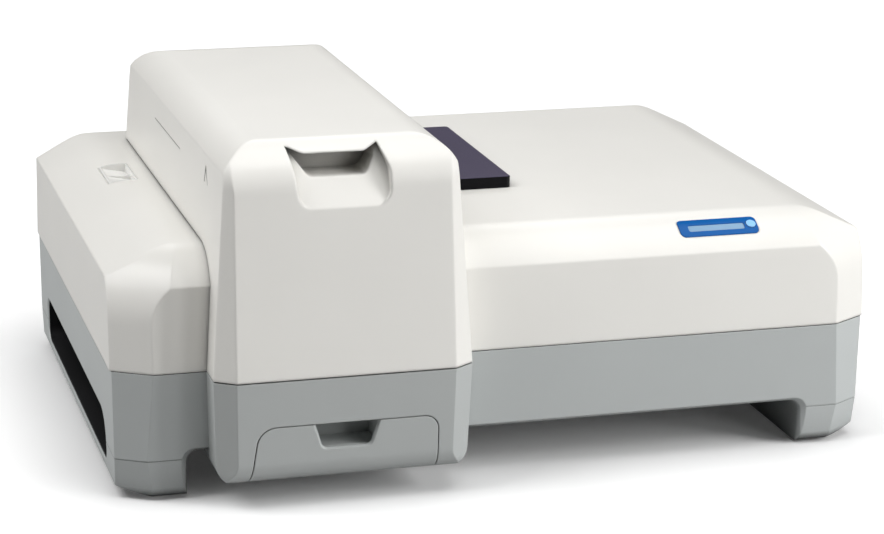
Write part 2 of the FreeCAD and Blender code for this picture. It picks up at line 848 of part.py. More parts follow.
notch_face_y = lid_front_y + bay_front_taper * (seam_z - flap_top_z)
notch_front = Part.makeLoft([notch_wire(2 * notch_bevel, notch_face_y - bay_wall),
                             notch_wire(0, notch_face_y + bay_wall)], True, True)
notch_back = Part.Face(notch_wire(0, notch_face_y + bay_wall)).extrude(Vector(0, bay_wall * 2, 0))
cup_front = notch_face_y + bay_wall + cup_gap
cup_half = notch_width / 2 + cup_wall
cup_low = flap_top_z - notch_depth - cup_wall
cup_block = box(notch_x - cup_half, notch_x + cup_half, cup_front, cup_front + cup_depth,
                cup_low, flap_top_z + cup_rise)
cup_room = box(notch_x - cup_half + cup_wall, notch_x + cup_half - cup_wall, cup_front,
               cup_front + cup_depth - cup_wall, cup_low + cup_wall, flap_top_z + flap_gap)
cup_tie = box(notch_x - cup_half, notch_x + cup_half, notch_face_y + bay_wall / 2, cup_front + cup_wall,
              flap_top_z + flap_gap, flap_top_z + cup_rise)
finger_cup = join([cup_block.cut(cup_room), cup_tie])
flap_pins = []
flap_pin_holes = []
for side, edge in ((-1, flap_left_x), (1, flap_right_x)):
    start = Vector(edge - side * flap_pin_length, flap_pivot.y, flap_pivot.z)
    flap_pins.append(rod(start, Vector(side, 0, 0), flap_pin_radius, 2 * flap_pin_length))
    flap_pin_holes.append(rod(start, Vector(side, 0, 0), flap_pin_radius + fit_gap,
                              2 * flap_pin_length + fit_gap))
flap = bay_shell.common(flap_block(0, 0)).cut([notch_front, notch_back])
bay_open = bay_shell.cut([flap_block(flap_gap, flap_back_gap)] + flap_pin_holes)
save("bay_housing", join([bay_open, finger_cup]))
save("access_flap", join([flap] + flap_pins))

# Lid shell over the sample compartment, with hinge ears and the finger scoop
pivot_y = lid_back_y - pivot_behind
pivot_z = deck_z + pivot_above
lid_hollow = lid_form(lid_wall).cut(scoop(lid_wall))
lid_solid = lid_form(0).cut([scoop(0), lid_hollow, cover_form(-lid_deck_gap, 0)])
groove_x = lid_x - lid_side_at(groove_z)
groove_low = groove_z - groove_width / 2
groove = box(groove_x - lid_wall, groove_x + groove_depth, groove_front_y, groove_back_y,
             groove_low, groove_low + groove_width)
tick = prism_x([(tick_y, tick_high_z, 0), (tick_y - tick_front_run, tick_low_z, 0),
                (tick_y - tick_front_run + tick_width, tick_low_z, 0),
                (tick_y, tick_high_z - 3 * tick_width, 0),
                (tick_y + tick_back_run - tick_width, tick_low_z, 0),
                (tick_y + tick_back_run, tick_low_z, 0), (tick_y + tick_width, tick_high_z, 0)],
               groove_x - lid_wall, groove_x + tick_depth)
ears = []
hinge_notches = []
pins = []
brackets = []
knuckle_half = knuckle_width / 2
for side in (-1, 1):
    hinge_x = lid_x + side * hinge_spread
    clear = knuckle_radius + 2 * knuckle_gap
    hinge_notches.append(box(hinge_x - knuckle_half - knuckle_gap, hinge_x + knuckle_half + knuckle_gap,
                             pivot_y - clear, FAR, 0, pivot_z + clear))
    for edge in (-1, 1):
        inner_x = hinge_x + edge * (knuckle_half + knuckle_gap)
        left = min(inner_x, inner_x + edge * ear_width)
        ear = box(left, left + ear_width, pivot_y - knuckle_radius, lid_back_y - lid_wall / 2,
                  pivot_z, pivot_z + 2 * knuckle_radius)
        barrel = rod(Vector(left, pivot_y, pivot_z), Vector(1, 0, 0), knuckle_radius, ear_width)
        hole = rod(Vector(left, pivot_y, pivot_z), Vector(1, 0, 0), pin_radius + pin_gap, ear_width)
        ears.append((ear.fuse(barrel), hole))
    pin_half = knuckle_half + knuckle_gap + ear_width
    pin_start = Vector(hinge_x - pin_half, pivot_y, pivot_z)
    pins.append(rod(pin_start, Vector(1, 0, 0), pin_radius, 2 * pin_half))
    foot = box(hinge_x - knuckle_half, hinge_x + knuckle_half, pivot_y - bracket_length,
               pivot_y + knuckle_radius / 2, deck_z, deck_z + bracket_thickness)
    post = box(hinge_x - knuckle_half, hinge_x + knuckle_half, pivot_y - knuckle_radius,
               pivot_y + knuckle_radius / 2, deck_z, pivot_z)
    barrel = rod(Vector(hinge_x - knuckle_half, pivot_y, pivot_z), Vector(1, 0, 0), knuckle_radius,
                 knuckle_width)
    hole = rod(pin_start, Vector(1, 0, 0), pin_radius + pin_gap, 2 * pin_half)
    brackets.append(join([foot, post, barrel]).cut(hole))
lid = lid_solid.cut([groove, tick] + hinge_notches)
lid = join([lid] + [ear for ear, hole in ears]).cut([hole for ear, hole in ears])
save("lid_shell", lid)
save("hinge_pins", Part.makeCompound(pins))
save("hinge_brackets", Part.makeCompound(brackets))

# Black liner panel that closes the lid from below, with a rib that meets the gasket
liner_low = deck_z + liner_rise
flange_front_y = band_centre_y + tub_flange
flange_left = tub_left_x - tub_flange
flange_right = tub_right_x + tub_flange
flange_back = tub_back_y + tub_wall + tub_flange
gasket_top = deck_z + tub_flange_thickness + gasket_height
liner_blank = lid_form(lid_wall + liner_gap).common(
    box(-FAR, FAR, tub_slope_y, flange_back + liner_behind, liner_low, liner_low + liner_thickness))
seal_mid = tub_flange / 2


def seal_ring(width, low, high):
    """A three-sided ring along the middle of the tub's flange, open to the front."""
    outer = box(flange_left + seal_mid - width / 2, flange_right - seal_mid + width / 2,
                flange_front_y, flange_back - seal_mid + width / 2, low, high)
    inner = box(flange_left + seal_mid + width / 2, flange_right - seal_mid - width / 2,
                -FAR, flange_back - seal_mid - width / 2, low, high)
    return outer.cut(inner)


save("lid_liner", join([liner_blank, seal_ring(liner_rib, gasket_top + liner_gap, liner_low)]))
magnet_spot = Vector(lid_x, flange_back + magnet_behind, liner_low - magnet_thickness)
save("lid_magnet", rod(magnet_spot, UP, magnet_radius, magnet_thickness))
sensor_height = liner_rise - magnet_thickness - sensor_gap
save("lid_sensor", box(magnet_spot.x - magnet_radius, magnet_spot.x + magnet_radius,
                       magnet_spot.y - magnet_radius / 2, magnet_spot.y + magnet_radius / 2,
                       deck_z, deck_z + sensor_height))

# Dark strip and latch pocket on the deck
strip = prism_z(rectangle(strip_left_x, strip_right_x, strip_front_y, strip_back_y, strip_round),
                deck_z, deck_z + strip_height)
strip_top = [edge for edge in strip.Edges if edge.BoundBox.ZMin > deck_z + strip_height / 2]
save("deck_strip", strip.makeFillet(strip_edge, strip_top))
tab_block = box(tab_left_x, tab_right_x, tab_front_y, tab_back_y, deck_z - tab_depth - tab_rim,
                deck_z).common(cover_form(0))
tab_room = prism_y([(tab_left_x + tab_rim, deck_z - tab_shallow, 0),
                    (tab_right_x - tab_rim, deck_z - tab_depth, 0),
                    (tab_right_x - tab_rim, deck_z + tab_depth, 0),
                    (tab_left_x + tab_rim, deck_z + tab_depth, 0)],
                   tab_front_y + tab_rim, tab_back_y - tab_rim)
tab_middle_y = (tab_front_y + tab_back_y) / 2
tab_bar = box(tab_left_x, tab_right_x, tab_middle_y - tab_rib / 2, tab_middle_y + tab_rib / 2,
              deck_z - tab_depth, deck_z - tab_shallow)
save("deck_tab", join([tab_block.cut(tab_room), tab_bar]))

# Aluminium chassis plate on the base's floor, with the main board's standoffs pressed in
floor_z = skirt_z + base_wall
chassis_top = floor_z + chassis_thickness
panel_outer_y = back_y - base_wall - base_side_taper * (seam_z - panel_low_z)
panel_inner_y = panel_outer_y - panel_thickness
chassis_half = runner_inner_x - chassis_side_gap
chassis_back = panel_inner_y - chassis_back_gap
chassis_front = front_y + base_wall + chassis_front_gap
standoffs = []
for spot_x in (board_left_x + 2 * standoff_radius, board_right_x - 2 * standoff_radius):
    for spot_y in (board_front_y + 2 * standoff_radius, board_back_y - 2 * standoff_radius):
        standoffs.append(rod(Vector(spot_x, spot_y, chassis_top), UP, standoff_radius, standoff_height))
chassis = box(-chassis_half, chassis_half, chassis_front, chassis_back, floor_z, chassis_top)
save("chassis_plate", join([chassis] + standoffs))

# Black sample compartment tub on four legs, with beam windows in its side walls
tub_outer = box(tub_left_x, tub_right_x, tub_front_y - tub_wall, tub_back_y + tub_wall, tub_low_z,
                deck_z + tub_flange_thickness)
tub_inner = box(tub_left_x + tub_wall, tub_right_x - tub_wall, tub_front_y, tub_back_y, tub_floor_z, FAR)
tub_front_cut = prism_x([(-FAR, seam_z + tub_front_top, 0), (tub_front_y, seam_z + tub_front_top, 0),
                         (tub_slope_y, tub_slope_z, 0), (flange_front_y, deck_z - tub_wall, 0),
                         (flange_front_y, FAR, 0), (-FAR, FAR, 0)], -FAR, FAR)
flange = box(flange_left, flange_right, flange_front_y, flange_back, deck_z,
             deck_z + tub_flange_thickness)
legs = []
for leg_x in (tub_left_x + tub_leg, tub_right_x - tub_leg):
    for leg_y in (chassis_front + tub_leg, tub_back_y - tub_leg):
        legs.append(rod(Vector(leg_x, leg_y, chassis_top), UP, tub_leg / 2, tub_low_z - chassis_top))
beam_ways = []
windows = []
for beam_y in (sample_y, reference_y):
    beam_ways.append(rod(Vector(tub_left_x - tub_wall, beam_y, beam_z), Vector(1, 0, 0),
                         window_opening_radius, tub_inner_width + 4 * tub_wall))
    for wall_x, way in ((tub_left_x, 1), (tub_right_x, -1)):
        start = Vector(wall_x, beam_y, beam_z)
        beam_ways.append(rod(start, Vector(way, 0, 0), window_radius + fit_gap, window_thickness))
        windows.append(rod(start, Vector(way, 0, 0), window_radius, window_thickness))
tub = join([tub_outer.cut(tub_front_cut), flange] + legs).cut([tub_inner] + beam_ways)
save("compartment_tub", tub)
save("compartment_windows", Part.makeCompound(windows))
save("tub_gasket", seal_ring(gasket_width, deck_z + tub_flange_thickness, gasket_top))

# Cell holder plate with two holders, two cells and two thumb screws
plate_front = sample_y - holder_margin
plate_back = reference_y + holder_margin
plate_top = tub_floor_z + holder_plate_thickness
save("cell_holder_plate", box(lid_x - holder_plate_x / 2, lid_x + holder_plate_x / 2, plate_front,
                              plate_back, tub_floor_z, plate_top))
cell_low = beam_z - cell_below_beam
for name, beam_y in (("sample", sample_y), ("reference", reference_y)):
    block = box(lid_x - holder_size / 2, lid_x + holder_size / 2, beam_y - holder_size / 2,
                beam_y + holder_size / 2, plate_top, plate_top + holder_height)
    half = cell_size / 2 + cell_gap
    pocket = box(lid_x - half, lid_x + half, beam_y - half, beam_y + half, cell_low, FAR)
    beam_hole = rod(Vector(lid_x - holder_size, beam_y, beam_z), Vector(1, 0, 0), beam_hole_radius,
                    2 * holder_size)
    save(name + "_cell_holder", block.cut([pocket, beam_hole]))
    half = cell_size / 2
    cell = box(lid_x - half, lid_x + half, beam_y - half, beam_y + half, cell_low, cell_low + cell_height)
    half = half - cell_wall
    well = box(lid_x - half, lid_x + half, beam_y - half, beam_y + half, cell_low + cell_wall, FAR)
    save(name + "_cell", cell.cut(well))
thumbs = []
for side in (-1, 1):
    spot = Vector(lid_x + side * (holder_plate_x / 2 - 2 * thumb_radius),
                  (sample_y + reference_y) / 2, plate_top)
    head = rod(spot, UP, thumb_radius, thumb_height)
    flutes = []
    for index in range(thumb_slots):
        turn = 2 * math.pi * index / thumb_slots
        rim = spot + Vector(math.cos(turn), math.sin(turn), 0) * thumb_radius
        flutes.append(rod(rim, UP, thumb_radius / thumb_slots, thumb_height))
    thumbs.append(head.cut(flutes))
save("thumb_screws", Part.makeCompound(thumbs))

# Detectors in the left section, on a plate that stands on the chassis
detector_right = tub_left_x - detector_gap
detector_left = detector_right - detector_length
plate_left = detector_left - detector_plate
detector_plate_solid = box(plate_left, detector_left, sample_y - 2 * detector_radius,
                           reference_y + 2 * detector_radius, chassis_top, detector_plate_top)
detector_foot = box(plate_left, detector_left + detector_radius, sample_y - 2 * detector_radius,
                    reference_y + 2 * detector_radius, chassis_top, chassis_top + detector_plate)
save("detector_plate", detector_plate_solid.fuse(detector_foot).removeSplitter())
detectors = []
for beam_y in (sample_y, reference_y):
    can = rod(Vector(detector_left, beam_y, beam_z), Vector(1, 0, 0), detector_radius, detector_length)
    eye = rod(Vector(detector_right - detector_plate, beam_y, beam_z), Vector(1, 0, 0),
              detector_eye_radius, detector_length)
    detectors.append(can.cut(eye))
save("detectors", Part.makeCompound(detectors))
detector_board = box(plate_left - detector_board_gap - board_thickness, plate_left - detector_board_gap,
                     sample_y - 2 * detector_radius, reference_y + 2 * detector_radius,
                     chassis_top + 2 * detector_radius, detector_plate_top)
spacers = []
for spacer_y in (sample_y - detector_radius, reference_y + detector_radius):
    for spacer_z in (chassis_top + spacer_rise, detector_plate_top - detector_radius):
        spacers.append(rod(Vector(plate_left - detector_board_gap, spacer_y, spacer_z), Vector(1, 0, 0),
                           standoff_radius, detector_board_gap))
save("detector_board", join([detector_board] + spacers))

# Optics bench on four soft mounts
bench_low = chassis_top + mount_height
bench_top = bench_low + bench_thickness
save("optics_bench", box(bench_left_x, bench_right_x, bench_front_y, bench_back_y, bench_low, bench_top))
mounts = []
for mount_x in (bench_left_x + 2 * mount_radius, bench_right_x - 2 * mount_radius):
    for mount_y in (bench_front_y + 2 * mount_radius, bench_back_y - 2 * mount_radius):
        mounts.append(rod(Vector(mount_x, mount_y, chassis_top), UP, mount_radius, mount_height))
save("bench_mounts", Part.makeCompound(mounts))

# Flash lamp in its housing; its light leaves to the back through a round port
lamp_back_y = lamp_front_y + lamp_box
lamp_block = box(lamp_x - lamp_box / 2, lamp_x + lamp_box / 2, lamp_front_y, lamp_back_y, bench_top,
                 bench_top + lamp_box_height)
lamp_room = box(lamp_x - lamp_box / 2 + lamp_box_wall, lamp_x + lamp_box / 2 - lamp_box_wall,
                lamp_front_y + lamp_box_wall, lamp_back_y - lamp_box_wall,
                bench_top, bench_top + lamp_box_height - lamp_box_wall)
lamp_port = rod(Vector(lamp_x, lamp_back_y - 2 * lamp_box_wall, beam_z), Vector(0, 1, 0),
                window_radius, 3 * lamp_box_wall)
save("lamp_housing", lamp_block.cut([lamp_room, lamp_port]))
lamp_seat = Vector(lamp_x, lamp_front_y + lamp_box_wall, beam_z)
lamp_bulb = rod(lamp_seat, Vector(0, 1, 0), lamp_radius, lamp_length)
lamp_nose = rod(lamp_seat, Vector(0, 1, 0), lamp_nose_radius, lamp_length + lamp_box_wall)
save("flash_lamp", lamp_bulb.fuse(lamp_nose).removeSplitter())

# Filter wheel on its motor's shaft, with a bracket that stands on the bench
wheel_z = beam_z + wheel_filter_radius
wheel_back_y = wheel_y + wheel_thickness
bracket_front = wheel_back_y + wheel_bracket_gap
bracket_back = bracket_front + motor_bracket
wheel = rod(Vector(lamp_x, wheel_y, wheel_z), Vector(0, 1, 0), wheel_radius, wheel_thickness)
filter_holes = []
filters = []
for index in range(wheel_filters):
    turn = math.radians(270 + 360 * index / wheel_filters)
    spot = Vector(lamp_x + wheel_filter_radius * math.cos(turn), wheel_y,
                  wheel_z + wheel_filter_radius * math.sin(turn))
    filter_holes.append(rod(spot, Vector(0, 1, 0), wheel_filter_hole, wheel_thickness))
    if index > 0:
        filters.append(rod(spot + Vector(0, filter_thickness, 0), Vector(0, 1, 0),
                           wheel_filter_hole - shaft_gap, filter_thickness))
save("order_filters", Part.makeCompound(filters))
bracket_wall = box(lamp_x - motor_size / 2 - motor_bracket, lamp_x + motor_size / 2 + motor_bracket,
                   bracket_front, bracket_back, bench_top, wheel_z + motor_size / 2)
bracket_foot = box(lamp_x - motor_size / 2 - motor_bracket, lamp_x + motor_size / 2 + motor_bracket,
                   bracket_front, bracket_back + motor_size, bench_top, bench_top + motor_bracket)
bracket_hole = rod(Vector(lamp_x, bracket_front, wheel_z), Vector(0, 1, 0),
                   motor_shaft_radius + motor_bracket_gap, motor_bracket)
light_hole = rod(Vector(lamp_x, bracket_front, beam_z), Vector(0, 1, 0), beam_hole_radius,
                 motor_bracket)
save("wheel_bracket", bracket_wall.fuse(bracket_foot).removeSplitter().cut([bracket_hole, light_hole]))
motor_body = box(lamp_x - motor_size / 2, lamp_x + motor_size / 2, bracket_back,
                 bracket_back + motor_length, wheel_z - motor_size / 2 + beam_hole_radius,
                 wheel_z + motor_size / 2)
wheel_shaft = rod(Vector(lamp_x, wheel_y, wheel_z), Vector(0, 1, 0), motor_shaft_radius,
                  bracket_back + motor_length / 2 - wheel_y)
shaft_way = rod(Vector(lamp_x, bracket_back, wheel_z), Vector(0, 1, 0), motor_shaft_radius + shaft_gap,
                motor_length / 2 + shaft_gap)
wheel_motor = motor_body.cut(shaft_way)
save("filter_wheel", join([wheel.cut(filter_holes), wheel_shaft]))

# Entrance and exit slits
slits = []
for slit_x in (lamp_x, exit_x):
    plate = box(slit_x - slit_plate_width / 2, slit_x + slit_plate_width / 2, slit_y,
                slit_y + slit_plate, bench_top, slit_plate_top)
    opening = box(slit_x - slit_width / 2, slit_x + slit_width / 2, slit_y, slit_y + slit_plate,
                  beam_z - slit_height / 2, beam_z + slit_height / 2)
    slits.append(plate.cut(opening))
save("slit_plates", Part.makeCompound(slits))

# Collimating and focusing mirrors, each turned a little towards the grating
mirror_solids = []
mirror_posts = []
for mirror_x, tilt in ((lamp_x, mirror_tilt), (exit_x, -mirror_tilt)):
    face = Vector(-math.sin(math.radians(tilt)), -math.cos(math.radians(tilt)), 0)
    seat = Vector(mirror_x, mirror_y, beam_z)
    mirror_solids.append(rod(seat, face, mirror_radius, mirror_thickness))
    side = Vector(-face.y, face.x, 0)
    corner = seat - side * mirror_radius + UP * (bench_top - beam_z)
    post = Part.Face(Part.makePolygon([corner, corner + side * (2 * mirror_radius),
                                       corner + side * (2 * mirror_radius) - face * mirror_block,
                                       corner - face * mirror_block, corner]))
    mirror_posts.append(post.extrude(UP * (beam_z + mirror_radius - bench_top)))
save("curved_mirrors", Part.makeCompound(mirror_solids))
save("mirror_blocks", Part.makeCompound(mirror_posts))

# Grating on a turret that its motor turns
turret_low = bench_top + turret_motor_height + turret_gap
turret_top = turret_low + turret_thickness
turret_spot = Vector(turret_x, turret_y, 0)
turret_motor = box(turret_x - motor_size / 2, turret_x + motor_size / 2, turret_y - motor_size / 2,
                   turret_y + motor_size / 2, bench_top, bench_top + turret_motor_height)
turret_shaft = rod(turret_spot + UP * (turret_low - turret_gap - turret_motor_height / 2), UP,
                   motor_shaft_radius, turret_gap + turret_motor_height / 2 + turret_thickness)
turret_way = rod(turret_spot + UP * (bench_top + turret_motor_height / 2 - shaft_gap), UP,
                 motor_shaft_radius + shaft_gap, turret_motor_height)
save("stepper_motors", Part.makeCompound([wheel_motor, turret_motor.cut(turret_way)]))
turret_disc = rod(turret_spot + UP * turret_low, UP, turret_radius, turret_thickness)
turret_back = box(turret_x - grating_width / 2 + grating_back_inset,
                  turret_x + grating_width / 2 - grating_back_inset, turret_y + grating_thickness,
                  turret_y + grating_thickness + grating_back, turret_top, turret_top + grating_height)
turret_round = rod(turret_spot + UP * turret_low, UP, turret_radius, FAR)
save("grating_turret", join([turret_disc, turret_back.common(turret_round), turret_shaft]))
save("diffraction_grating", box(turret_x - grating_width / 2, turret_x + grating_width / 2, turret_y,
                                turret_y + grating_thickness, turret_top, turret_top + grating_height))

# Beam splitter and sample mirror, set on the slant, that send the two beams through the compartment
for name, beam_y in (("beam_splitter", reference_y), ("sample_mirror", sample_y)):
    half = splitter_width / 2
    blade = box(-half, half, -splitter_thickness / 2, splitter_thickness / 2,
                beam_z - half, beam_z + half)
    stem = rod(Vector(0, 0, bench_top), UP, splitter_post / 2, beam_z - half - bench_top)
    blade = blade.fuse(stem).removeSplitter()
    blade.rotate(Vector(0, 0, 0), UP, splitter_angle)
    blade.translate(Vector(exit_x, beam_y, 0))
    save(name, blade)

# Power supply and main board
supply_front_y = bench_back_y + supply_gap
save("power_supply", box(supply_left_x, supply_left_x + supply_length, supply_front_y,
                         supply_front_y + supply_depth, chassis_top, chassis_top + supply_height))
board_low = chassis_top + standoff_height
save("main_board", box(board_left_x, board_right_x, board_front_y, board_back_y, board_low,
                       board_low + board_thickness))
key_board_out = key_foot - key_travel - key_gap - key_switch_height
key_board_spot = key_seat + key_out * (key_board_out - key_board_thickness)
key_board = Part.makeBox(key_board_width, key_board_depth, key_board_thickness)
key_board.translate(Vector(-key_board_width / 2, -key_board_depth / 2, 0))
key_contact = Part.makeBox(key_switch_size, key_switch_size, key_switch_height)
key_contact.translate(Vector(-key_switch_size / 2, -key_switch_size / 2, key_board_thickness))
key_unit = key_board.fuse(key_contact).removeSplitter()
key_unit.rotate(Vector(0, 0, 0), Vector(1, 0, 0), math.degrees(key_tilt))
key_unit.translate(key_board_spot)
key_posts = []
for side in (-1, 1):
    post_offset = Vector(side * (key_board_width / 2 - standoff_radius), 0, 0)
    key_post = rod(key_seat + key_out * key_board_out + post_offset, key_out, standoff_radius,
                   band_radius - key_board_out)
    key_posts.append(key_post.common(cover_form(cover_wall)))
save("key_board", join([key_unit] + key_posts))

# Rear connector panel behind the window, with inlet, switch, ports and fan
inlet_cut = box(inlet_x - inlet_width / 2, inlet_x + inlet_width / 2, 0, FAR,
                connector_z - inlet_height / 2, connector_z + inlet_height / 2)
switch_cut = box(switch_x - switch_width / 2, switch_x + switch_width / 2, 0, FAR,
                 connector_z - switch_height / 2, connector_z + switch_height / 2)
port_cuts = []
ports = []
for index in range(2):
    port_x = usb_x + usb_pitch * index
    half = usb_width / 2
    tall = usb_height / 2
    port_cuts.append(box(port_x - half - fit_gap, port_x + half + fit_gap, 0, FAR,
                         connector_z - tall - fit_gap, connector_z + tall + fit_gap))
    shell = box(port_x - half, port_x + half, panel_outer_y + usb_proud - usb_depth,
                panel_outer_y + usb_proud, connector_z - tall, connector_z + tall)
    room = box(port_x - half + usb_wall, port_x + half - usb_wall,
               panel_outer_y + usb_proud - usb_depth + usb_wall, FAR,
               connector_z - tall + usb_wall, connector_z + tall - usb_wall)
    ports.append(shell.cut(room))
fan_spot = Vector(fan_x, panel_inner_y, connector_z)
fan_hole_radius = fan_size / 2 - fan_wall
fan_cut = rod(fan_spot, Vector(0, 1, 0), fan_hole_radius, panel_thickness)
panel = box(panel_left_x, panel_right_x, panel_inner_y, panel_outer_y, panel_low_z, panel_high_z)
save("rear_panel", panel.cut([inlet_cut, switch_cut, fan_cut] + port_cuts))
save("usb_ports", Part.makeCompound(ports))

inlet_body = box(inlet_x - inlet_width / 2, inlet_x + inlet_width / 2, panel_outer_y - inlet_depth,
                 panel_outer_y, connector_z - inlet_height / 2, connector_z + inlet_height / 2)
inlet_rim_solid = prism_y(rectangle(inlet_x - inlet_width / 2 - inlet_rim,
                                    inlet_x + inlet_width / 2 + inlet_rim,
                                    connector_z - inlet_height / 2 - inlet_rim,
                                    connector_z + inlet_height / 2 + inlet_rim, inlet_rim),
                          panel_outer_y, panel_outer_y + inlet_proud)
socket_low = connector_z - socket_height / 2
socket_high = connector_z + socket_height / 2
socket_back = panel_outer_y - inlet_depth + inlet_rim
socket = prism_y([(inlet_x - socket_width / 2, socket_low, socket_round),
                  (inlet_x + socket_width / 2, socket_low, socket_round),
                  (inlet_x + socket_width / 2, socket_high - socket_cut, 0),
                  (inlet_x + socket_width / 2 - socket_cut, socket_high, 0),
                  (inlet_x - socket_width / 2 + socket_cut, socket_high, 0),
                  (inlet_x - socket_width / 2, socket_high - socket_cut, 0)],
                 socket_back, FAR)
save("mains_inlet", inlet_body.fuse(inlet_rim_solid).removeSplitter().cut(socket))
contacts = []
for place in (-1, 0, 1):
    contact_z = connector_z + (contact_rise if place == 0 else 0) + contact_rise
    contacts.append(box(inlet_x + place * contact_pitch - contact_thickness / 2,
                        inlet_x + place * contact_pitch + contact_thickness / 2,
                        socket_back, panel_outer_y - contact_rise,
                        contact_z - contact_width / 2, contact_z + contact_width / 2))
save("inlet_contacts", Part.makeCompound(contacts))

rocker_pivot = Vector(switch_x, panel_outer_y - rocker_sink, connector_z)
switch_body = box(switch_x - switch_width / 2, switch_x + switch_width / 2,
                  panel_outer_y - switch_depth, panel_outer_y,
                  connector_z - switch_height / 2, connector_z + switch_height / 2)
switch_frame = prism_y(rectangle(switch_x - switch_width / 2 - switch_rim,
                                 switch_x + switch_width / 2 + switch_rim,
                                 connector_z - switch_height / 2 - switch_rim,
                                 connector_z + switch_height / 2 + switch_rim, switch_rim),
                       panel_outer_y, panel_outer_y + switch_proud)
rocker_reach = math.hypot(rocker_height / 2, rocker_tip_out)
rocker_room = box(switch_x - rocker_width / 2 - rocker_gap, switch_x + rocker_width / 2 + rocker_gap,
                  rocker_pivot.y - rocker_reach - rocker_gap, FAR,
                  connector_z - rocker_reach - rocker_gap, connector_z + rocker_reach + rocker_gap)
axle_start = rocker_pivot - Vector(rocker_axle_length / 2, 0, 0)
rocker_axle = rod(axle_start, Vector(1, 0, 0), rocker_axle_radius, rocker_axle_length)
axle_hole = rod(axle_start, Vector(1, 0, 0), rocker_axle_radius + fit_gap, rocker_axle_length)
save("power_switch", switch_body.fuse(switch_frame).removeSplitter().cut([rocker_room, axle_hole]))
rocker_half = rocker_height / 2
rocker_profile = prism_x([(rocker_tip_out, rocker_half, rocker_round), (rocker_waist_out, 0, 0),
                          (rocker_tip_out, -rocker_half, rocker_round),
                          (-rocker_side_in, -rocker_half, rocker_round),
                          (-rocker_keel_in, 0, rocker_round),
                          (-rocker_side_in, rocker_half, rocker_round)],
                         -rocker_width / 2, rocker_width / 2)
rocker_profile.rotate(Vector(0, 0, 0), Vector(1, 0, 0), -rocker_angle)
rocker_profile.translate(rocker_pivot)
save("power_rocker", rocker_profile.fuse(rocker_axle).removeSplitter())

fan_front = panel_inner_y - fan_depth
fan_block = box(fan_x - fan_size / 2, fan_x + fan_size / 2, fan_front, panel_inner_y,
                connector_z - fan_size / 2, connector_z + fan_size / 2)
fan_tunnel = rod(Vector(fan_x, fan_front, connector_z), Vector(0, 1, 0), fan_hole_radius, fan_depth)
fan_wall_y = fan_front + fan_frame_floor
hub_cup = rod(Vector(fan_x, fan_front, connector_z), Vector(0, 1, 0), fan_hub_radius, fan_frame_floor)
spokes = []
for index in range(fan_spokes):
    spoke = box(-fan_spoke_width / 2, fan_spoke_width / 2, fan_front, fan_wall_y, 0,
                fan_hole_radius + fan_wall / 2)
    spoke.rotate(Vector(0, 0, 0), Vector(0, 1, 0), 360 * (index + 0.5) / fan_spokes)
    spoke.translate(Vector(fan_x, 0, connector_z))
    spokes.append(spoke)
fan_pin_length = fan_depth - fan_pin_short
fan_pin = rod(Vector(fan_x, fan_front, connector_z), Vector(0, 1, 0), fan_pin_radius, fan_pin_length)
save("fan_frame", join([fan_block.cut(fan_tunnel), hub_cup, fan_pin] + spokes))
rotor_front = fan_wall_y + fan_blade_gap
rotor_depth = fan_depth - fan_frame_floor - 2 * fan_blade_gap
rotor_spot = Vector(fan_x, rotor_front, connector_z)
hub = rod(rotor_spot, Vector(0, 1, 0), fan_hub_radius, rotor_depth)
blades = []
rotor_zone = rod(rotor_spot, Vector(0, 1, 0), fan_hole_radius - fan_blade_gap, rotor_depth)
for index in range(fan_blades):
    blade = box(-fan_blade_thickness / 2, fan_blade_thickness / 2, -rotor_depth, rotor_depth,
                fan_hub_radius - fan_wall, fan_hole_radius)
    blade.rotate(Vector(0, 0, 0), UP, fan_blade_twist)
    blade.rotate(Vector(0, 0, 0), Vector(0, 1, 0), 360 * index / fan_blades)
    blade.translate(Vector(fan_x, rotor_front + rotor_depth / 2, connector_z))
    blades.append(blade.common(rotor_zone))
rotor_bore = rod(rotor_spot, Vector(0, 1, 0), fan_pin_radius + shaft_gap,
                 fan_pin_length - fan_frame_floor)
save("fan_rotor", join([hub] + blades).cut(rotor_bore))

rings = []
for index in range(guard_rings):
    ring_radius = fan_hole_radius * (index + 1) / guard_rings
    ring_spot = Vector(fan_x, panel_outer_y, connector_z)
    ring = rod(ring_spot, Vector(0, 1, 0), ring_radius, guard_wire)
    rings.append(ring.cut(rod(ring_spot, Vector(0, 1, 0), ring_radius - guard_wire, guard_wire)))
arms = []
for index in range(guard_arms):
    arm = box(-guard_wire / 2, guard_wire / 2, panel_outer_y, panel_outer_y + guard_wire, 0, guard_reach)
    arm.rotate(Vector(0, 0, 0), Vector(0, 1, 0), 360 * (index + 0.5) / guard_arms)
    arm.translate(Vector(fan_x, 0, connector_z))
    arms.append(arm)
save("fan_guard", join(rings + arms))
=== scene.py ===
# Visual model of a UV-vis spectrophotometer: the finish of every CAD piece, the small fittings
# that the solids leave out, and the light, floor and view of a studio photograph.
import math

import bmesh
import bpy
from mathutils import Matrix, Vector


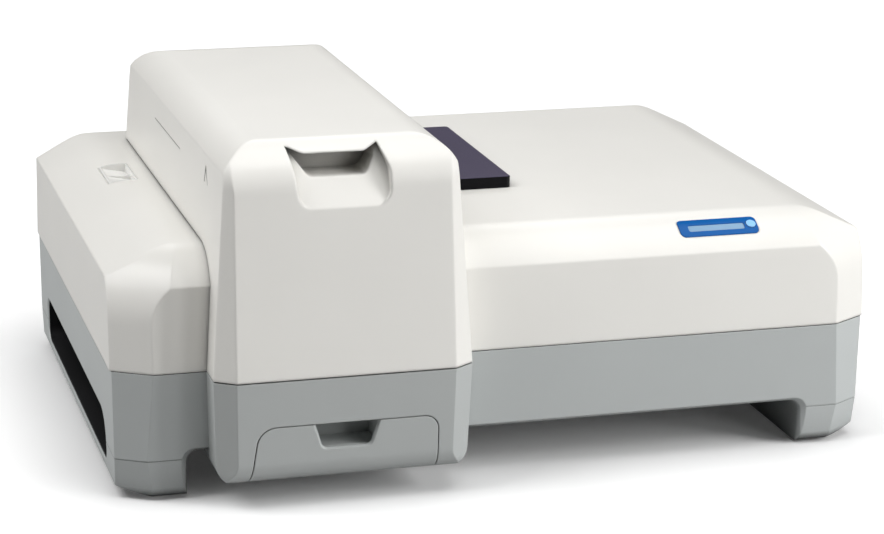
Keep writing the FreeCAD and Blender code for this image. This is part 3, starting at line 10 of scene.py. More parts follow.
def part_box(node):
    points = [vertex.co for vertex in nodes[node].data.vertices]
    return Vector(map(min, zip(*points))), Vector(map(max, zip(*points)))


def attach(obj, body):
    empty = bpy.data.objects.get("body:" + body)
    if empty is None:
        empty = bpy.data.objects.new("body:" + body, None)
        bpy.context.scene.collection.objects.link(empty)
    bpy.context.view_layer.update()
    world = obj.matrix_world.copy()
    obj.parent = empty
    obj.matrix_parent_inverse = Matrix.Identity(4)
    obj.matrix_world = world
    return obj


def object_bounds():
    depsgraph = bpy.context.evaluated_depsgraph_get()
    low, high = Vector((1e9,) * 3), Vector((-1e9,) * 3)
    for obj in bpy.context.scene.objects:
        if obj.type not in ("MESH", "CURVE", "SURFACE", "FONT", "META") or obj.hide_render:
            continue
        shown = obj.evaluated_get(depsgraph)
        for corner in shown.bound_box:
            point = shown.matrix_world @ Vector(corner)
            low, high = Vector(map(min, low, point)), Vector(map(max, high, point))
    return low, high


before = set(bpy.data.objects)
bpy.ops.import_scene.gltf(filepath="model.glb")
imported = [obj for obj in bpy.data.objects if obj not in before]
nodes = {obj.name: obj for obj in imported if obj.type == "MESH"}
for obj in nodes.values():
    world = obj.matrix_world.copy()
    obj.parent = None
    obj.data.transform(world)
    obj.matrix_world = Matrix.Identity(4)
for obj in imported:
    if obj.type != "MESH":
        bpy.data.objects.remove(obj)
cad_box = [list(corner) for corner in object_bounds()]

# The camera stands in front of the instrument, a little to its left and above it, and looks down
# through a long lens. The whole instrument fills the frame.
camera_azimuth = math.radians(16.08)
camera_elevation = math.radians(15.86)
camera_roll = math.radians(0.69)
camera_target = Vector((0.00473, 0.0, 0.11412))
camera_distance = 2.23943
camera_data = bpy.data.cameras.new("camera")
camera_data.sensor_width = 36.0
camera_data.lens = 106.44
camera_data.clip_end = 60.0
camera = bpy.data.objects.new("camera", camera_data)
bpy.context.scene.collection.objects.link(camera)
bpy.context.scene.camera = camera
backward = Vector((-math.sin(camera_azimuth) * math.cos(camera_elevation),
                   -math.cos(camera_azimuth) * math.cos(camera_elevation),
                   math.sin(camera_elevation)))
level = backward.to_track_quat("Z", "Y").to_matrix().to_4x4()
camera.matrix_world = (Matrix.Translation(camera_target + backward * camera_distance)
                       @ level @ Matrix.Rotation(camera_roll, 4, "Z"))
bpy.context.scene.view_settings.view_transform = "Standard"

# White covers: the top cover and the tall lid are injection moulded in a warm white plastic with a
# fine satin grain, with painted shade in their crevices and hollows. The tone drifts a little, as
# in a large moulded part. The small pocket on the left deck is moulded in the same plastic, but it
# is painted lighter and whiter, with little painted shade: a painted highlight for the light that
# its floor catches.


def moulded_plastic(name, colour, drift, roughness, grain_size, grain_height, edge=0.0006,
                    painted_shade_reach=0.02, painted_shade_end=0.7, painted_shade_tone=0.16):
    """Plastic with a fine moulded grain, a slow drift of tone, softly rounded edges and painted
    shade: the base colour is darkened in crevices, hollows and under the part, wherever ambient
    occlusion finds nearby surfaces."""
    material = bpy.data.materials.new(name)
    material.use_nodes = True
    tree = material.node_tree
    shader = tree.nodes["Principled BSDF"]
    place = tree.nodes.new("ShaderNodeTexCoord")
    cloud = tree.nodes.new("ShaderNodeTexNoise")
    cloud.inputs["Scale"].default_value = 9.0
    cloud.inputs["Detail"].default_value = 2.0
    tone = tree.nodes.new("ShaderNodeValToRGB")
    tone.color_ramp.elements[0].position = 0.3
    tone.color_ramp.elements[1].position = 0.7
    tone.color_ramp.elements[0].color = [channel * (1 - drift) for channel in colour] + [1]
    tone.color_ramp.elements[1].color = [min(channel * (1 + drift), 1) for channel in colour] + [1]
    grain = tree.nodes.new("ShaderNodeTexNoise")
    grain.inputs["Scale"].default_value = 1 / grain_size
    grain.inputs["Detail"].default_value = 3.0
    sheen = tree.nodes.new("ShaderNodeMapRange")
    sheen.inputs["To Min"].default_value = roughness - 0.05
    sheen.inputs["To Max"].default_value = roughness + 0.05
    # Painted shade: ambient occlusion darkens the base colour in crevices, hollows and under the
    # part.
    painted_shade_ao = tree.nodes.new("ShaderNodeAmbientOcclusion")
    painted_shade_ao.samples = 8
    painted_shade_ao.inputs["Distance"].default_value = painted_shade_reach
    painted_shade_depth = tree.nodes.new("ShaderNodeMapRange")
    painted_shade_depth.inputs["From Min"].default_value = 0.1
    painted_shade_depth.inputs["From Max"].default_value = painted_shade_end
    painted_shade_depth.inputs["To Min"].default_value = painted_shade_tone
    painted_shade_depth.inputs["To Max"].default_value = 1.0
    painted_shade_scale = tree.nodes.new("ShaderNodeVectorMath")
    painted_shade_scale.operation = "SCALE"
    edges = tree.nodes.new("ShaderNodeBevel")
    edges.samples = 6
    edges.inputs["Radius"].default_value = edge
    bump = tree.nodes.new("ShaderNodeBump")
    bump.inputs["Strength"].default_value = 0.35
    bump.inputs["Distance"].default_value = grain_height
    tree.links.new(place.outputs["Object"], cloud.inputs["Vector"])
    tree.links.new(place.outputs["Object"], grain.inputs["Vector"])
    tree.links.new(cloud.outputs["Fac"], tone.inputs["Fac"])
    tree.links.new(painted_shade_ao.outputs["AO"], painted_shade_depth.inputs["Value"])
    tree.links.new(tone.outputs["Color"], painted_shade_scale.inputs[0])
    tree.links.new(painted_shade_depth.outputs["Result"], painted_shade_scale.inputs["Scale"])
    tree.links.new(painted_shade_scale.outputs["Vector"], shader.inputs["Base Color"])
    tree.links.new(grain.outputs["Fac"], sheen.inputs["Value"])
    tree.links.new(sheen.outputs["Result"], shader.inputs["Roughness"])
    tree.links.new(grain.outputs["Fac"], bump.inputs["Height"])
    tree.links.new(edges.outputs["Normal"], bump.inputs["Normal"])
    tree.links.new(bump.outputs["Normal"], shader.inputs["Normal"])
    return material


def finish_nodes(material, *names):
    """Gives one finish to CAD pieces."""
    for name in names:
        slots = nodes[name].data.materials
        slots.clear()
        slots.append(material)


cover_white = moulded_plastic("cover_white", (0.865, 0.852, 0.812), 0.012, 0.33, 0.0012, 0.00003,
                              edge=0.003)
finish_nodes(cover_white, "top_cover", "lid_shell")
# Painted highlight: the pocket is lighter and whiter than the cover and keeps only a trace of
# painted shade.
pocket_painted_highlight = moulded_plastic("pocket_painted_highlight", (0.93, 0.925, 0.9), 0.01, 0.2, 0.0012, 0.00001,
                               painted_shade_tone=0.9)
finish_nodes(pocket_painted_highlight, "deck_tab")

# Grey base: the housing with its runners, the bay under the lid and the bay's access flap are
# moulded in a cool light grey, a little rougher than the covers. Painted shade darkens the housing
# strongly underneath and in its crevices, and the bay and flap only a little.
base_grey = moulded_plastic("base_grey", (0.515, 0.54, 0.536), 0.02, 0.4, 0.0011, 0.00005,
                            edge=0.0015, painted_shade_reach=0.06, painted_shade_end=0.6, painted_shade_tone=0.05)
finish_nodes(base_grey, "base_housing")
bay_grey = moulded_plastic("bay_grey", (0.485, 0.506, 0.5), 0.02, 0.4, 0.0011, 0.00005,
                           edge=0.0015, painted_shade_reach=0.01, painted_shade_end=0.5, painted_shade_tone=0.6)
finish_nodes(bay_grey, "bay_housing", "access_flap")

# Black grip liners close the two long hand slots from inside. They are a dull black plastic with a
# coarser grain against slipping.
liner_black = moulded_plastic("liner_black", (0.012, 0.012, 0.013), 0.2, 0.6, 0.0016, 0.0001)
liner_black.node_tree.nodes["Principled BSDF"].inputs["Specular IOR Level"].default_value = 0.15
finish_nodes(liner_black, "left_grip_liner", "right_grip_liner")

# Dark strip on the deck beside the lid: deep violet on its flat top and near black on its sides,
# blended by how steeply each face slopes.
strip_violet = moulded_plastic("strip_violet", (0.062, 0.053, 0.092), 0.06, 0.34, 0.0012, 0.00004)
strip_tree = strip_violet.node_tree
strip_shader = strip_tree.nodes["Principled BSDF"]
strip_shader.inputs["Specular IOR Level"].default_value = 0.12
strip_violet_tone = strip_shader.inputs["Base Color"].links[0].from_socket
strip_face = strip_tree.nodes.new("ShaderNodeNewGeometry")
strip_up = strip_tree.nodes.new("ShaderNodeSeparateXYZ")
strip_slope = strip_tree.nodes.new("ShaderNodeMapRange")
strip_slope.inputs["From Min"].default_value = 0.6
strip_slope.inputs["From Max"].default_value = 0.9
# Near black where a face turns away from up, violet where it faces up.
strip_slope_blend = strip_tree.nodes.new("ShaderNodeMix")
strip_slope_blend.data_type = "RGBA"
strip_slope_blend.inputs["A"].default_value = (0.002, 0.002, 0.003, 1)
strip_tree.links.new(strip_face.outputs["True Normal"], strip_up.inputs["Vector"])
strip_tree.links.new(strip_up.outputs["Z"], strip_slope.inputs["Value"])
strip_tree.links.new(strip_slope.outputs["Result"], strip_slope_blend.inputs["Factor"])
strip_tree.links.new(strip_violet_tone, strip_slope_blend.inputs["B"])
strip_tree.links.new(strip_slope_blend.outputs["Result"], strip_shader.inputs["Base Color"])
finish_nodes(strip_violet, "deck_strip")

# Status bar on the front round of the cover: a glossy blue frame, a milky window with lamps behind
# it and the round standby key at its right end.
status_blue = moulded_plastic("status_blue", (0.002, 0.1, 0.36), 0.04, 0.22, 0.002, 0.00001,
                              edge=0.0003)
finish_nodes(status_blue, "status_bar")
window_pale = moulded_plastic("window_pale", (0.23, 0.375, 0.54), 0.06, 0.2, 0.002, 0.00001,
                              edge=0.0002)
finish_nodes(window_pale, "status_light")
key_blue = moulded_plastic("key_blue", (0.27, 0.55, 0.9), 0.04, 0.25, 0.002, 0.00001,
                           edge=0.0003)
finish_nodes(key_blue, "standby_key")
for overlay in (status_blue, window_pale, key_blue):
    overlay.node_tree.nodes["Principled BSDF"].inputs["Specular IOR Level"].default_value = 0.2

# Rubber pads under the runners, and the soft mounts that carry the optics bench. Both are moulded
# in a matt black rubber.
pad_rubber = moulded_plastic("pad_rubber", (0.02, 0.02, 0.02), 0.2, 0.75, 0.0008, 0.0001)
finish_nodes(pad_rubber, "foot_pads", "bench_mounts")

# Sample compartment: a black moulded tub and lid liner that swallow stray light, and a ring of
# closed-cell foam that seals the lid.
tub_black = moulded_plastic("tub_black", (0.02, 0.02, 0.021), 0.15, 0.55, 0.0009, 0.00009)
finish_nodes(tub_black, "compartment_tub", "lid_liner", "lid_sensor")
seal_foam = moulded_plastic("seal_foam", (0.03, 0.03, 0.033), 0.3, 0.9, 0.0005, 0.0003)
finish_nodes(seal_foam, "tub_gasket")

# Machined and sheet metal parts: brushed in one direction, anodised black near the beams and left
# bright elsewhere.


def worked_metal(name, colour, roughness, brush, height):
    """Metal with fine lines from the brush or cutter, stretched along X."""
    material = bpy.data.materials.new(name)
    material.use_nodes = True
    tree = material.node_tree
    shader = tree.nodes["Principled BSDF"]
    shader.inputs["Metallic"].default_value = 1.0
    place = tree.nodes.new("ShaderNodeTexCoord")
    stretch = tree.nodes.new("ShaderNodeMapping")
    stretch.inputs["Scale"].default_value = (0.04, 1.0, 1.0)
    lines = tree.nodes.new("ShaderNodeTexNoise")
    lines.inputs["Scale"].default_value = 1 / brush
    lines.inputs["Detail"].default_value = 4.0
    tone = tree.nodes.new("ShaderNodeValToRGB")
    tone.color_ramp.elements[0].position = 0.25
    tone.color_ramp.elements[1].position = 0.75
    tone.color_ramp.elements[0].color = [channel * 0.86 for channel in colour] + [1]
    tone.color_ramp.elements[1].color = [min(channel * 1.08, 1) for channel in colour] + [1]
    sheen = tree.nodes.new("ShaderNodeMapRange")
    sheen.inputs["To Min"].default_value = roughness - 0.08
    sheen.inputs["To Max"].default_value = roughness + 0.1
    bump = tree.nodes.new("ShaderNodeBump")
    bump.inputs["Strength"].default_value = 0.3
    bump.inputs["Distance"].default_value = height
    tree.links.new(place.outputs["Object"], stretch.inputs["Vector"])
    tree.links.new(stretch.outputs["Vector"], lines.inputs["Vector"])
    tree.links.new(lines.outputs["Fac"], tone.inputs["Fac"])
    tree.links.new(tone.outputs["Color"], shader.inputs["Base Color"])
    tree.links.new(lines.outputs["Fac"], sheen.inputs["Value"])
    tree.links.new(sheen.outputs["Result"], shader.inputs["Roughness"])
    tree.links.new(lines.outputs["Fac"], bump.inputs["Height"])
    tree.links.new(bump.outputs["Normal"], shader.inputs["Normal"])
    return material


bright_aluminium = worked_metal("bright_aluminium", (0.72, 0.73, 0.74), 0.34, 0.0006, 0.00003)
finish_nodes(bright_aluminium, "chassis_plate", "lamp_housing", "wheel_bracket", "mirror_blocks",
             "grating_turret", "power_supply", "rear_panel")
black_anodised = worked_metal("black_anodised", (0.035, 0.035, 0.038), 0.45, 0.0007, 0.00003)
finish_nodes(black_anodised, "cell_holder_plate", "sample_cell_holder", "reference_cell_holder",
             "detector_plate", "optics_bench", "filter_wheel", "slit_plates")
plain_steel = worked_metal("plain_steel", (0.6, 0.6, 0.61), 0.28, 0.0005, 0.00002)
finish_nodes(plain_steel, "hinge_brackets", "hinge_pins", "lid_magnet", "thumb_screws", "detectors",
             "flash_lamp", "usb_ports", "fan_guard")
contact_brass = worked_metal("contact_brass", (0.72, 0.56, 0.28), 0.25, 0.0005, 0.00002)
finish_nodes(contact_brass, "inlet_contacts")
mirror_coat = worked_metal("mirror_coat", (0.93, 0.93, 0.94), 0.09, 0.002, 0.000002)
finish_nodes(mirror_coat, "curved_mirrors", "diffraction_grating", "sample_mirror")

# Quartz cells, beam windows, order filters and the beam splitter: clear pieces, ground flat and
# polished. The order filters are tinted amber.


def clear_glass(name, tint, roughness):
    """Polished glass with a faint haze, which takes a tint."""
    material = bpy.data.materials.new(name)
    material.use_nodes = True
    tree = material.node_tree
    shader = tree.nodes["Principled BSDF"]
    shader.inputs["Transmission Weight"].default_value = 0.92
    shader.inputs["IOR"].default_value = 1.46
    haze = tree.nodes.new("ShaderNodeTexNoise")
    haze.inputs["Scale"].default_value = 60.0
    tone = tree.nodes.new("ShaderNodeValToRGB")
    tone.color_ramp.elements[0].color = [channel * 0.96 for channel in tint] + [1]
    tone.color_ramp.elements[1].color = list(tint) + [1]
    sheen = tree.nodes.new("ShaderNodeMapRange")
    sheen.inputs["To Min"].default_value = roughness
    sheen.inputs["To Max"].default_value = roughness + 0.04
    tree.links.new(haze.outputs["Fac"], tone.inputs["Fac"])
    tree.links.new(tone.outputs["Color"], shader.inputs["Base Color"])
    tree.links.new(haze.outputs["Fac"], sheen.inputs["Value"])
    tree.links.new(sheen.outputs["Result"], shader.inputs["Roughness"])
    return material


quartz = clear_glass("quartz", (0.95, 0.98, 1.0), 0.01)
finish_nodes(quartz, "sample_cell", "reference_cell", "compartment_windows", "beam_splitter")
filter_glass = clear_glass("filter_glass", (0.85, 0.6, 0.25), 0.02)
finish_nodes(filter_glass, "order_filters")

# Circuit boards: glass fibre laminate under a green solder mask, whose tone drifts a little over
# the board.
board_green = moulded_plastic("board_green", (0.014, 0.12, 0.05), 0.25, 0.35, 0.004, 0.00005)
finish_nodes(board_green, "main_board", "detector_board", "key_board")

# Mains inlet, power switch, fan and stepper motors: bought parts with housings moulded in a black
# technical plastic.
fitting_black = moulded_plastic("fitting_black", (0.018, 0.018, 0.019), 0.15, 0.4, 0.0008, 0.00005,
                                edge=0.0003)
finish_nodes(fitting_black, "mains_inlet", "power_switch", "power_rocker", "fan_frame", "fan_rotor",
             "stepper_motors")

# Screws: turned heads with a hexagon socket, in the rear panel, the fan guard, the hinge brackets,
# the lid's liner and the underside of the base.


def ringed(shape, place, out, rings, sides=24):
    """Adds a turned piece whose rings are (radius, height, flat sides or 0 for a round one)."""
    turn = Vector(out).to_track_quat("Z", "Y").to_matrix()
    closed = rings[0] == rings[-1]
    loops = []
    for radius, height, flats in rings[:-1] if closed else rings:
        loop = []
        for index in range(sides):
            angle = 2 * math.pi * index / sides
            reach = radius
            if flats:
                span = 2 * math.pi / flats
                reach = radius * math.cos(span / 2) / math.cos(angle % span - span / 2)
            spot = Vector((reach * math.cos(angle), reach * math.sin(angle), height))
            loop.append(shape.verts.new(Vector(place) + turn @ spot))
        loops.append(loop)
    for low, high in zip(loops, loops[1:] + loops[:1] if closed else loops[1:]):
        for index in range(sides):
            after = (index + 1) % sides
            shape.faces.new((low[index], low[after], high[after], high[index]))
    if not closed:
        shape.faces.new(list(reversed(loops[0])))
        shape.faces.new(loops[-1])


def bar(shape, low, high, edge):
    """Adds a bar with bevelled edges between two corners."""
    low, high = Vector(low), Vector(high)
    made = bmesh.ops.create_cube(shape, size=1.0)["verts"]
    for vert in made:
        vert.co = Vector([low[i] + (high[i] - low[i]) * (vert.co[i] + 0.5) for i in range(3)])
    edges = list({line for vert in made for line in vert.link_edges})
    bmesh.ops.bevel(shape, geom=edges, offset=edge, segments=2, affect="EDGES", profile=0.5)


def fit(name, shape, finish, body):
    """Makes one piece of a shape, gives it a finish and lets it ride on a CAD body."""
    bmesh.ops.recalc_face_normals(shape, faces=shape.faces)
    mesh = bpy.data.meshes.new(name)
    shape.to_mesh(mesh)
    shape.free()
    for face in mesh.polygons:
        face.use_smooth = True
    mesh.set_sharp_from_angle(angle=math.radians(32))
    mesh.materials.append(finish)
    piece = bpy.data.objects.new(name, mesh)
    bpy.context.scene.collection.objects.link(piece)
    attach(piece, body)
    return piece


def screws(name, places, out, radius, finish, body):
    """Screw heads with a hexagon socket, at several places."""
    shape = bmesh.new()
    head = radius * 0.75
    for place in places:
        ringed(shape, place, out,
               [(radius, 0, 0), (radius, head * 0.8, 0), (radius * 0.88, head, 0),
                (radius * 0.6, head, 6), (radius * 0.56, head * 0.3, 6)])
    return fit(name, shape, finish, body)


panel_low, panel_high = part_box("rear_panel")
panel_face = panel_high[1]
panel_screw_inset = 0.0075
panel_screw_radius = 0.0026
panel_screw_rows = (panel_low[2] + panel_screw_inset, panel_high[2] - panel_screw_inset)
screws("panel_screws", [(x, panel_face, z) for x in (-0.199, -0.085, 0.045, 0.234)
                        for z in panel_screw_rows],
       (0, 1, 0), panel_screw_radius, plain_steel, "root")
fan_low, fan_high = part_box("fan_frame")
fan_x = (fan_low[0] + fan_high[0]) / 2
fan_z = (fan_low[2] + fan_high[2]) / 2
fan_screw_reach = 0.0162
fan_screw_radius = 0.0021
screws("fan_screws", [(fan_x + side * fan_screw_reach, panel_face, fan_z + rise * fan_screw_reach)
                      for side in (-1, 1) for rise in (-1, 1)],
       (0, 1, 0), fan_screw_radius, plain_steel, "root")
hinge_low, hinge_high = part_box("hinge_brackets")
hinge_leaf = 0.003
hinge_screw_side = 0.011
hinge_screw_radius = 0.0024
screws("hinge_screws", [(x, hinge_low[1] + back, hinge_low[2] + hinge_leaf)
                        for x in (hinge_low[0] + hinge_screw_side, hinge_high[0] - hinge_screw_side)
                        for back in (0.006, 0.017)],
       (0, 0, 1), hinge_screw_radius, plain_steel, "root")
liner_low, liner_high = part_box("lid_liner")
liner_mid = (liner_low[0] + liner_high[0]) / 2
liner_thickness = 0.0025
liner_screw_side = 0.06
liner_screw_radius = 0.0032
screws("liner_screws", [(liner_mid + side * liner_screw_side, y, liner_high[2] - liner_thickness)
                        for side in (-1, 1) for y in (-0.165, -0.04, 0.085)],
       (0, 0, -1), liner_screw_radius, plain_steel, "lid")
base_underside = 0.039
base_screw_radius = 0.0034
screws("base_screws", [(x, y, base_underside) for x in (-0.225, -0.07, 0.085, 0.225)
                       for y in (-0.12, 0.035, 0.19)],
       (0, 0, -1), base_screw_radius, plain_steel, "root")

# Rear panel: formed louvres that let air into the housing, with a thin black bar flush with the
# panel under each lip, painted shade that stands in for the open slot, and a tongue with four
# contacts in each data port.


def louvres(name, columns, rows, width, height, rise, finish):
    """Rows of louvres pressed outward from the rear panel: a smooth hood with an open upper lip."""
    shape = bmesh.new()
    steps_across = 10
    steps_up = 6
    rounded_end = 0.22
    for left in columns:
        for low in rows:
            grid = []
            for across in range(steps_across + 1):
                share = across / steps_across
                from_end = min(share, 1 - share, rounded_end)
                hood = math.sin(math.pi * from_end / (2 * rounded_end))
                line = []
                for up in range(steps_up + 1):
                    swell = math.sin(math.pi / 2 * up / steps_up)
                    line.append(shape.verts.new((left + width * share,
                                                 panel_face + rise * hood * swell,
                                                 low + height * up / steps_up)))
                grid.append(line)
            for first, second in zip(grid, grid[1:]):
                for up in range(steps_up):
                    shape.faces.new((first[up], first[up + 1], second[up + 1], second[up]))
    return fit(name, shape, finish, "root")


louvre_columns = [-0.11 + 0.036 * step for step in range(4)]
louvre_rows = [0.0605 + 0.0075 * step for step in range(4)]
louvre_width = 0.03
louvre_height = 0.0045
louvre_rise = 0.002
hoods = louvres("panel_louvres", louvre_columns, louvre_rows, louvre_width, louvre_height,
                louvre_rise, bright_aluminium)
thicken = hoods.modifiers.new("sheet", "SOLIDIFY")
thicken.thickness = 0.0004
# Painted shade: black bars stand where the louvres' openings would show the dark inside.
slot_left, slot_right = 0.002, 0.028
slot_low, slot_high = 0.0036, 0.0056
slot_half_depth = 0.0002
slot_edge = 0.00008
slots = bmesh.new()
for left in louvre_columns:
    for low in louvre_rows:
        bar(slots, (left + slot_left, panel_face - slot_half_depth, low + slot_low),
            (left + slot_right, panel_face + slot_half_depth, low + slot_high), slot_edge)
fit("louvre_slot_shade", slots, liner_black, "root")
port_low, port_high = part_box("usb_ports")
port_z = (port_low[2] + port_high[2]) / 2
port_half_width = 0.00725
tongue_half_width = 0.0029
tongue_half_height = 0.0017
contact_pitch = 0.00125
contact_width = 0.0007
tongues = bmesh.new()
contacts = bmesh.new()
for port_x in (port_low[0] + port_half_width, port_high[0] - port_half_width):
    bar(tongues, (port_x - tongue_half_width, port_low[1] + 0.0011, port_z - tongue_half_height),
        (port_x + tongue_half_width, port_high[1] - 0.003, port_z + tongue_half_height), 0.0004)
    for step in range(4):
        left = port_x - 0.0023 + contact_pitch * step
        bar(contacts, (left, port_low[1] + 0.0012, port_z + 0.0016),
            (left + contact_width, port_high[1] - 0.004, port_z + 0.00185), 0.00006)
fit("port_tongues", tongues, fitting_black, "root")
fit("port_contacts", contacts, contact_brass, "root")

# Sample compartment: turned black rings hold the beam windows, and the two quartz cells are filled
# with a clear liquid whose surface climbs a little at the walls.
window_low, window_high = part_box("compartment_windows")
window_z = (window_low[2] + window_high[2]) / 2
cell_spots = []
for cell_name in ("sample_cell", "reference_cell"):
    cell_low, cell_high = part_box(cell_name)
    cell_spots.append(((cell_low[0] + cell_high[0]) / 2, (cell_low[1] + cell_high[1]) / 2,
                       cell_low[2]))
tub_wall = 0.003
ring_profile = [(0.0075, -0.0004, 0), (0.0116, -0.0004, 0), (0.0116, 0.001, 0),
                (0.0112, 0.0014, 0), (0.0082, 0.0014, 0), (0.0076, 0.0008, 0), (0.0075, -0.0004, 0)]
ring_sides = 48
rings = bmesh.new()
for inner_x, out in ((window_low[0] + tub_wall, (1, 0, 0)),
                     (window_high[0] - tub_wall, (-1, 0, 0))):
    for spot in cell_spots:
        ringed(rings, (inner_x, spot[1], window_z), out, ring_profile, ring_sides)
fit("window_rings", rings, black_anodised, "root")
liquid_clear = clear_glass("liquid_clear", (0.72, 0.86, 0.95), 0.0)
steps = 8
liquid_half = 0.00497
cell_floor = 0.0013
wall_climb = 0.0009
for cell_name, spot, fill in (("sample_cell", cell_spots[0], 0.033),
                              ("reference_cell", cell_spots[1], 0.029)):
    cell_column = bmesh.new()
    sheet = []
    for across in range(steps + 1):
        line = []
        for along in range(steps + 1):
            u = 2 * across / steps - 1
            v = 2 * along / steps - 1
            climb = wall_climb * max(abs(u), abs(v)) ** 6
            line.append(cell_column.verts.new((spot[0] + liquid_half * u, spot[1] + liquid_half * v,
                                               spot[2] + cell_floor + fill + climb)))
        sheet.append(line)
    for first, second in zip(sheet, sheet[1:]):
        for index in range(steps):
            cell_column.faces.new((first[index], second[index], second[index + 1],
                                   first[index + 1]))
    rim = [line for line in cell_column.edges if line.is_boundary]
    lower = bmesh.ops.extrude_edge_only(cell_column, edges=rim)["geom"]
    for vert in lower:
        if isinstance(vert, bmesh.types.BMVert):
            vert.co.z = spot[2] + cell_floor
    bmesh.ops.holes_fill(cell_column, edges=cell_column.edges, sides=0)
    fit(cell_name + "_liquid", cell_column, liquid_clear, cell_name)

# Main board: six packaged chips stand on rows of steel leads, and three socket strips stand along
# the rear edge.
board_low, board_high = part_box("main_board")
board_top = board_high[2]
chip_places = ((0.02, 0.02, 0.024, 0.024), (0.06, 0.03, 0.014, 0.02), (0.09, 0.02, 0.018, 0.018),
               (0.03, 0.07, 0.014, 0.026), (0.07, 0.08, 0.02, 0.014), (0.12, 0.06, 0.022, 0.022))
chip_gap = 0.0004
chip_top = 0.0024
lead_pitch = 0.002
lead_reach = 0.0011
chips = bmesh.new()
leads = bmesh.new()
for left, front, wide, deep in chip_places:
    corner = Vector((board_low[0] + left, board_low[1] + front, board_top))
    bar(chips, corner + Vector((0, 0, chip_gap)), corner + Vector((wide, deep, chip_top)), 0.0003)
    for step in range(int(deep / lead_pitch) - 1):
        lead = corner + Vector((-lead_reach, 0.0014 + lead_pitch * step, 0))
        bar(leads, lead, lead + Vector((wide + 2 * lead_reach, 0.0008, 0.0009)), 0.0001)
for left in (0.03, 0.08, 0.13):
    corner = Vector((board_low[0] + left, board_high[1] - 0.014, board_top))
    bar(chips, corner, corner + Vector((0.03, 0.008, 0.0085)), 0.0005)
fit("board_chips", chips, fitting_black, "root")
fit("board_leads", leads, plain_steel, "root")

# Studio: a white table top under a white world. The camera sees the table glowing, faintly under
# and near the instrument and more strongly away from it, which paints a shadow around its
# footprint. The main softbox stands on the right, a smaller lamp stands nearer the front, and
# weaker ones stand above, behind and on the left.
floor_size = 14.0
footprint_inset = 0.04
shade_reach = 0.16
glow_reach = 3.0
floor_mesh = bpy.data.meshes.new("studio_floor")
floor_mesh.from_pydata([(-floor_size, -floor_size, 0), (floor_size, -floor_size, 0),
                        (floor_size, floor_size, 0), (-floor_size, floor_size, 0)],
                       [], [(0, 1, 2, 3)])
studio_floor = bpy.data.objects.new("studio_floor", floor_mesh)
bpy.context.scene.collection.objects.link(studio_floor)
table_white = bpy.data.materials.new("table_white")
table_white.use_nodes = True
table_tree = table_white.node_tree
table_shader = table_tree.nodes["Principled BSDF"]
table_shader.inputs["Roughness"].default_value = 0.6
table_shader.inputs["Specular IOR Level"].default_value = 0.2
table_shader.inputs["Emission Color"].default_value = (1, 1, 1, 1)
light_path = table_tree.nodes.new("ShaderNodeLightPath")
table_colour = table_tree.nodes.new("ShaderNodeMix")
table_colour.data_type = "RGBA"
table_colour.inputs["A"].default_value = (0.45, 0.45, 0.45, 1)
table_colour.inputs["B"].default_value = (1.0, 1.0, 1.0, 1)
table_tree.links.new(light_path.outputs["Is Camera Ray"], table_colour.inputs["Factor"])
table_tree.links.new(table_colour.outputs["Result"], table_shader.inputs["Base Color"])
table_place = table_tree.nodes.new("ShaderNodeNewGeometry")
table_fold = table_tree.nodes.new("ShaderNodeVectorMath")
table_fold.operation = "ABSOLUTE"
table_past = table_tree.nodes.new("ShaderNodeVectorMath")
table_past.operation = "SUBTRACT"
table_past.inputs[1].default_value = (cad_box[1][0] - footprint_inset,
                                      cad_box[1][1] - footprint_inset, 0)
table_out = table_tree.nodes.new("ShaderNodeVectorMath")
table_out.operation = "MAXIMUM"
table_away = table_tree.nodes.new("ShaderNodeVectorMath")
table_away.operation = "LENGTH"
table_share = table_tree.nodes.new("ShaderNodeMath")
table_share.operation = "DIVIDE"
table_share.inputs[1].default_value = glow_reach
# Painted shadow: the glow is faint under the instrument and grows with distance from its footprint.
table_painted_shadow = table_tree.nodes.new("ShaderNodeValToRGB")
table_painted_shadow.color_ramp.interpolation = "EASE"
table_painted_shadow.color_ramp.elements[0].color = (0.03, 0.03, 0.03, 1)
for share, level in ((shade_reach / glow_reach, 0.26), (0.2, 0.4)):
    table_painted_shadow.color_ramp.elements.new(share).color = (level, level, level, 1)
table_glow = table_tree.nodes.new("ShaderNodeMath")
table_glow.operation = "MULTIPLY"
table_tree.links.new(table_place.outputs["Position"], table_fold.inputs[0])
table_tree.links.new(table_fold.outputs["Vector"], table_past.inputs[0])
table_tree.links.new(table_past.outputs["Vector"], table_out.inputs[0])
table_tree.links.new(table_out.outputs["Vector"], table_away.inputs[0])
table_tree.links.new(table_away.outputs["Value"], table_share.inputs[0])
table_tree.links.new(table_share.outputs["Value"], table_painted_shadow.inputs["Fac"])
table_tree.links.new(table_painted_shadow.outputs["Color"], table_glow.inputs[0])
table_tree.links.new(light_path.outputs["Is Camera Ray"], table_glow.inputs[1])
table_tree.links.new(table_glow.outputs["Value"], table_shader.inputs["Emission Strength"])
floor_mesh.materials.append(table_white)

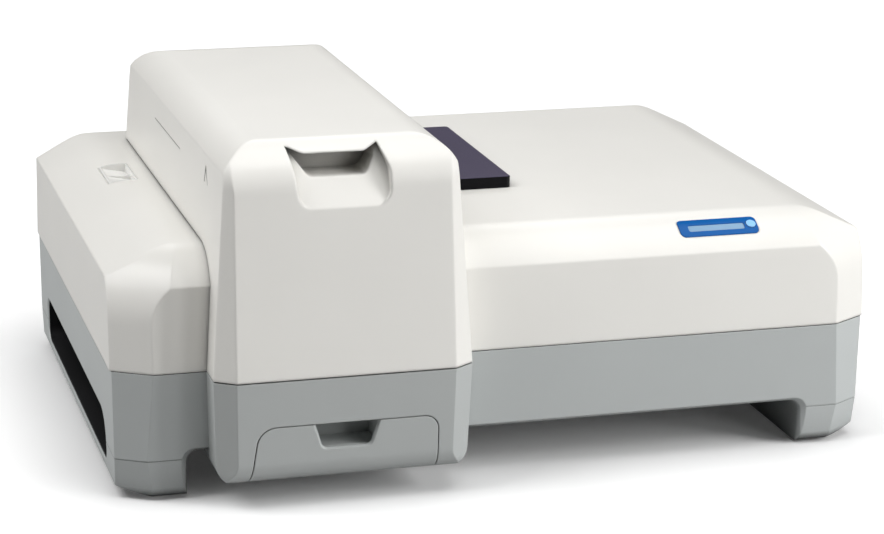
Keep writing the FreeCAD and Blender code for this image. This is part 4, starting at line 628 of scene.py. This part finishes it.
world = bpy.data.worlds.new("studio")
world.use_nodes = True
bpy.context.scene.world = world
sky = world.node_tree.nodes["Background"]
sky_path = world.node_tree.nodes.new("ShaderNodeLightPath")
sky_gloss = world.node_tree.nodes.new("ShaderNodeMath")
sky_gloss.operation = "MAXIMUM"
sky_seen = world.node_tree.nodes.new("ShaderNodeMath")
sky_seen.operation = "MAXIMUM"
sky_level = world.node_tree.nodes.new("ShaderNodeMapRange")
sky_level.inputs["To Min"].default_value = 0.02
sky_level.inputs["To Max"].default_value = 1.0
world.node_tree.links.new(sky_path.outputs["Is Camera Ray"], sky_gloss.inputs[0])
world.node_tree.links.new(sky_path.outputs["Is Glossy Ray"], sky_gloss.inputs[1])
world.node_tree.links.new(sky_gloss.outputs["Value"], sky_seen.inputs[0])
world.node_tree.links.new(sky_path.outputs["Is Transmission Ray"], sky_seen.inputs[1])
world.node_tree.links.new(sky_seen.outputs["Value"], sky_level.inputs["Value"])
world.node_tree.links.new(sky_level.outputs["Result"], sky.inputs["Strength"])


def softbox(name, place, aim, width, height, power):
    """A rectangular studio lamp at a place, turned towards a point."""
    lamp = bpy.data.lights.new(name, "AREA")
    lamp.shape = "RECTANGLE"
    lamp.size = width
    lamp.size_y = height
    lamp.energy = power
    piece = bpy.data.objects.new(name, lamp)
    turn = (Vector(place) - Vector(aim)).to_track_quat("Z", "Y").to_matrix().to_4x4()
    piece.matrix_world = Matrix.Translation(place) @ turn
    bpy.context.scene.collection.objects.link(piece)


instrument_middle = (0, 0, 0.1)
softbox("top_softbox", (0.4, -0.2, 2.2), instrument_middle, 2.0, 1.4, 13.5)
softbox("right_softbox", (2.4, -1.6, 1.3), instrument_middle, 1.2, 1.6, 66)
softbox("front_right_lamp", (1.5, -2.6, 1.0), instrument_middle, 0.8, 0.8, 10.5)
softbox("front_top_lamp", (0.1, -1.1, 2.3), instrument_middle, 1.0, 0.5, 5.5)
softbox("left_top_softbox", (-1.4, -0.2, 2.0), instrument_middle, 1.2, 1.4, 29)
softbox("left_low_softbox", (-2.7, 0.9, 0.45), instrument_middle, 1.2, 0.6, 18)
softbox("back_softbox", (0.2, 2.4, 1.9), instrument_middle, 2.4, 0.9, 14)
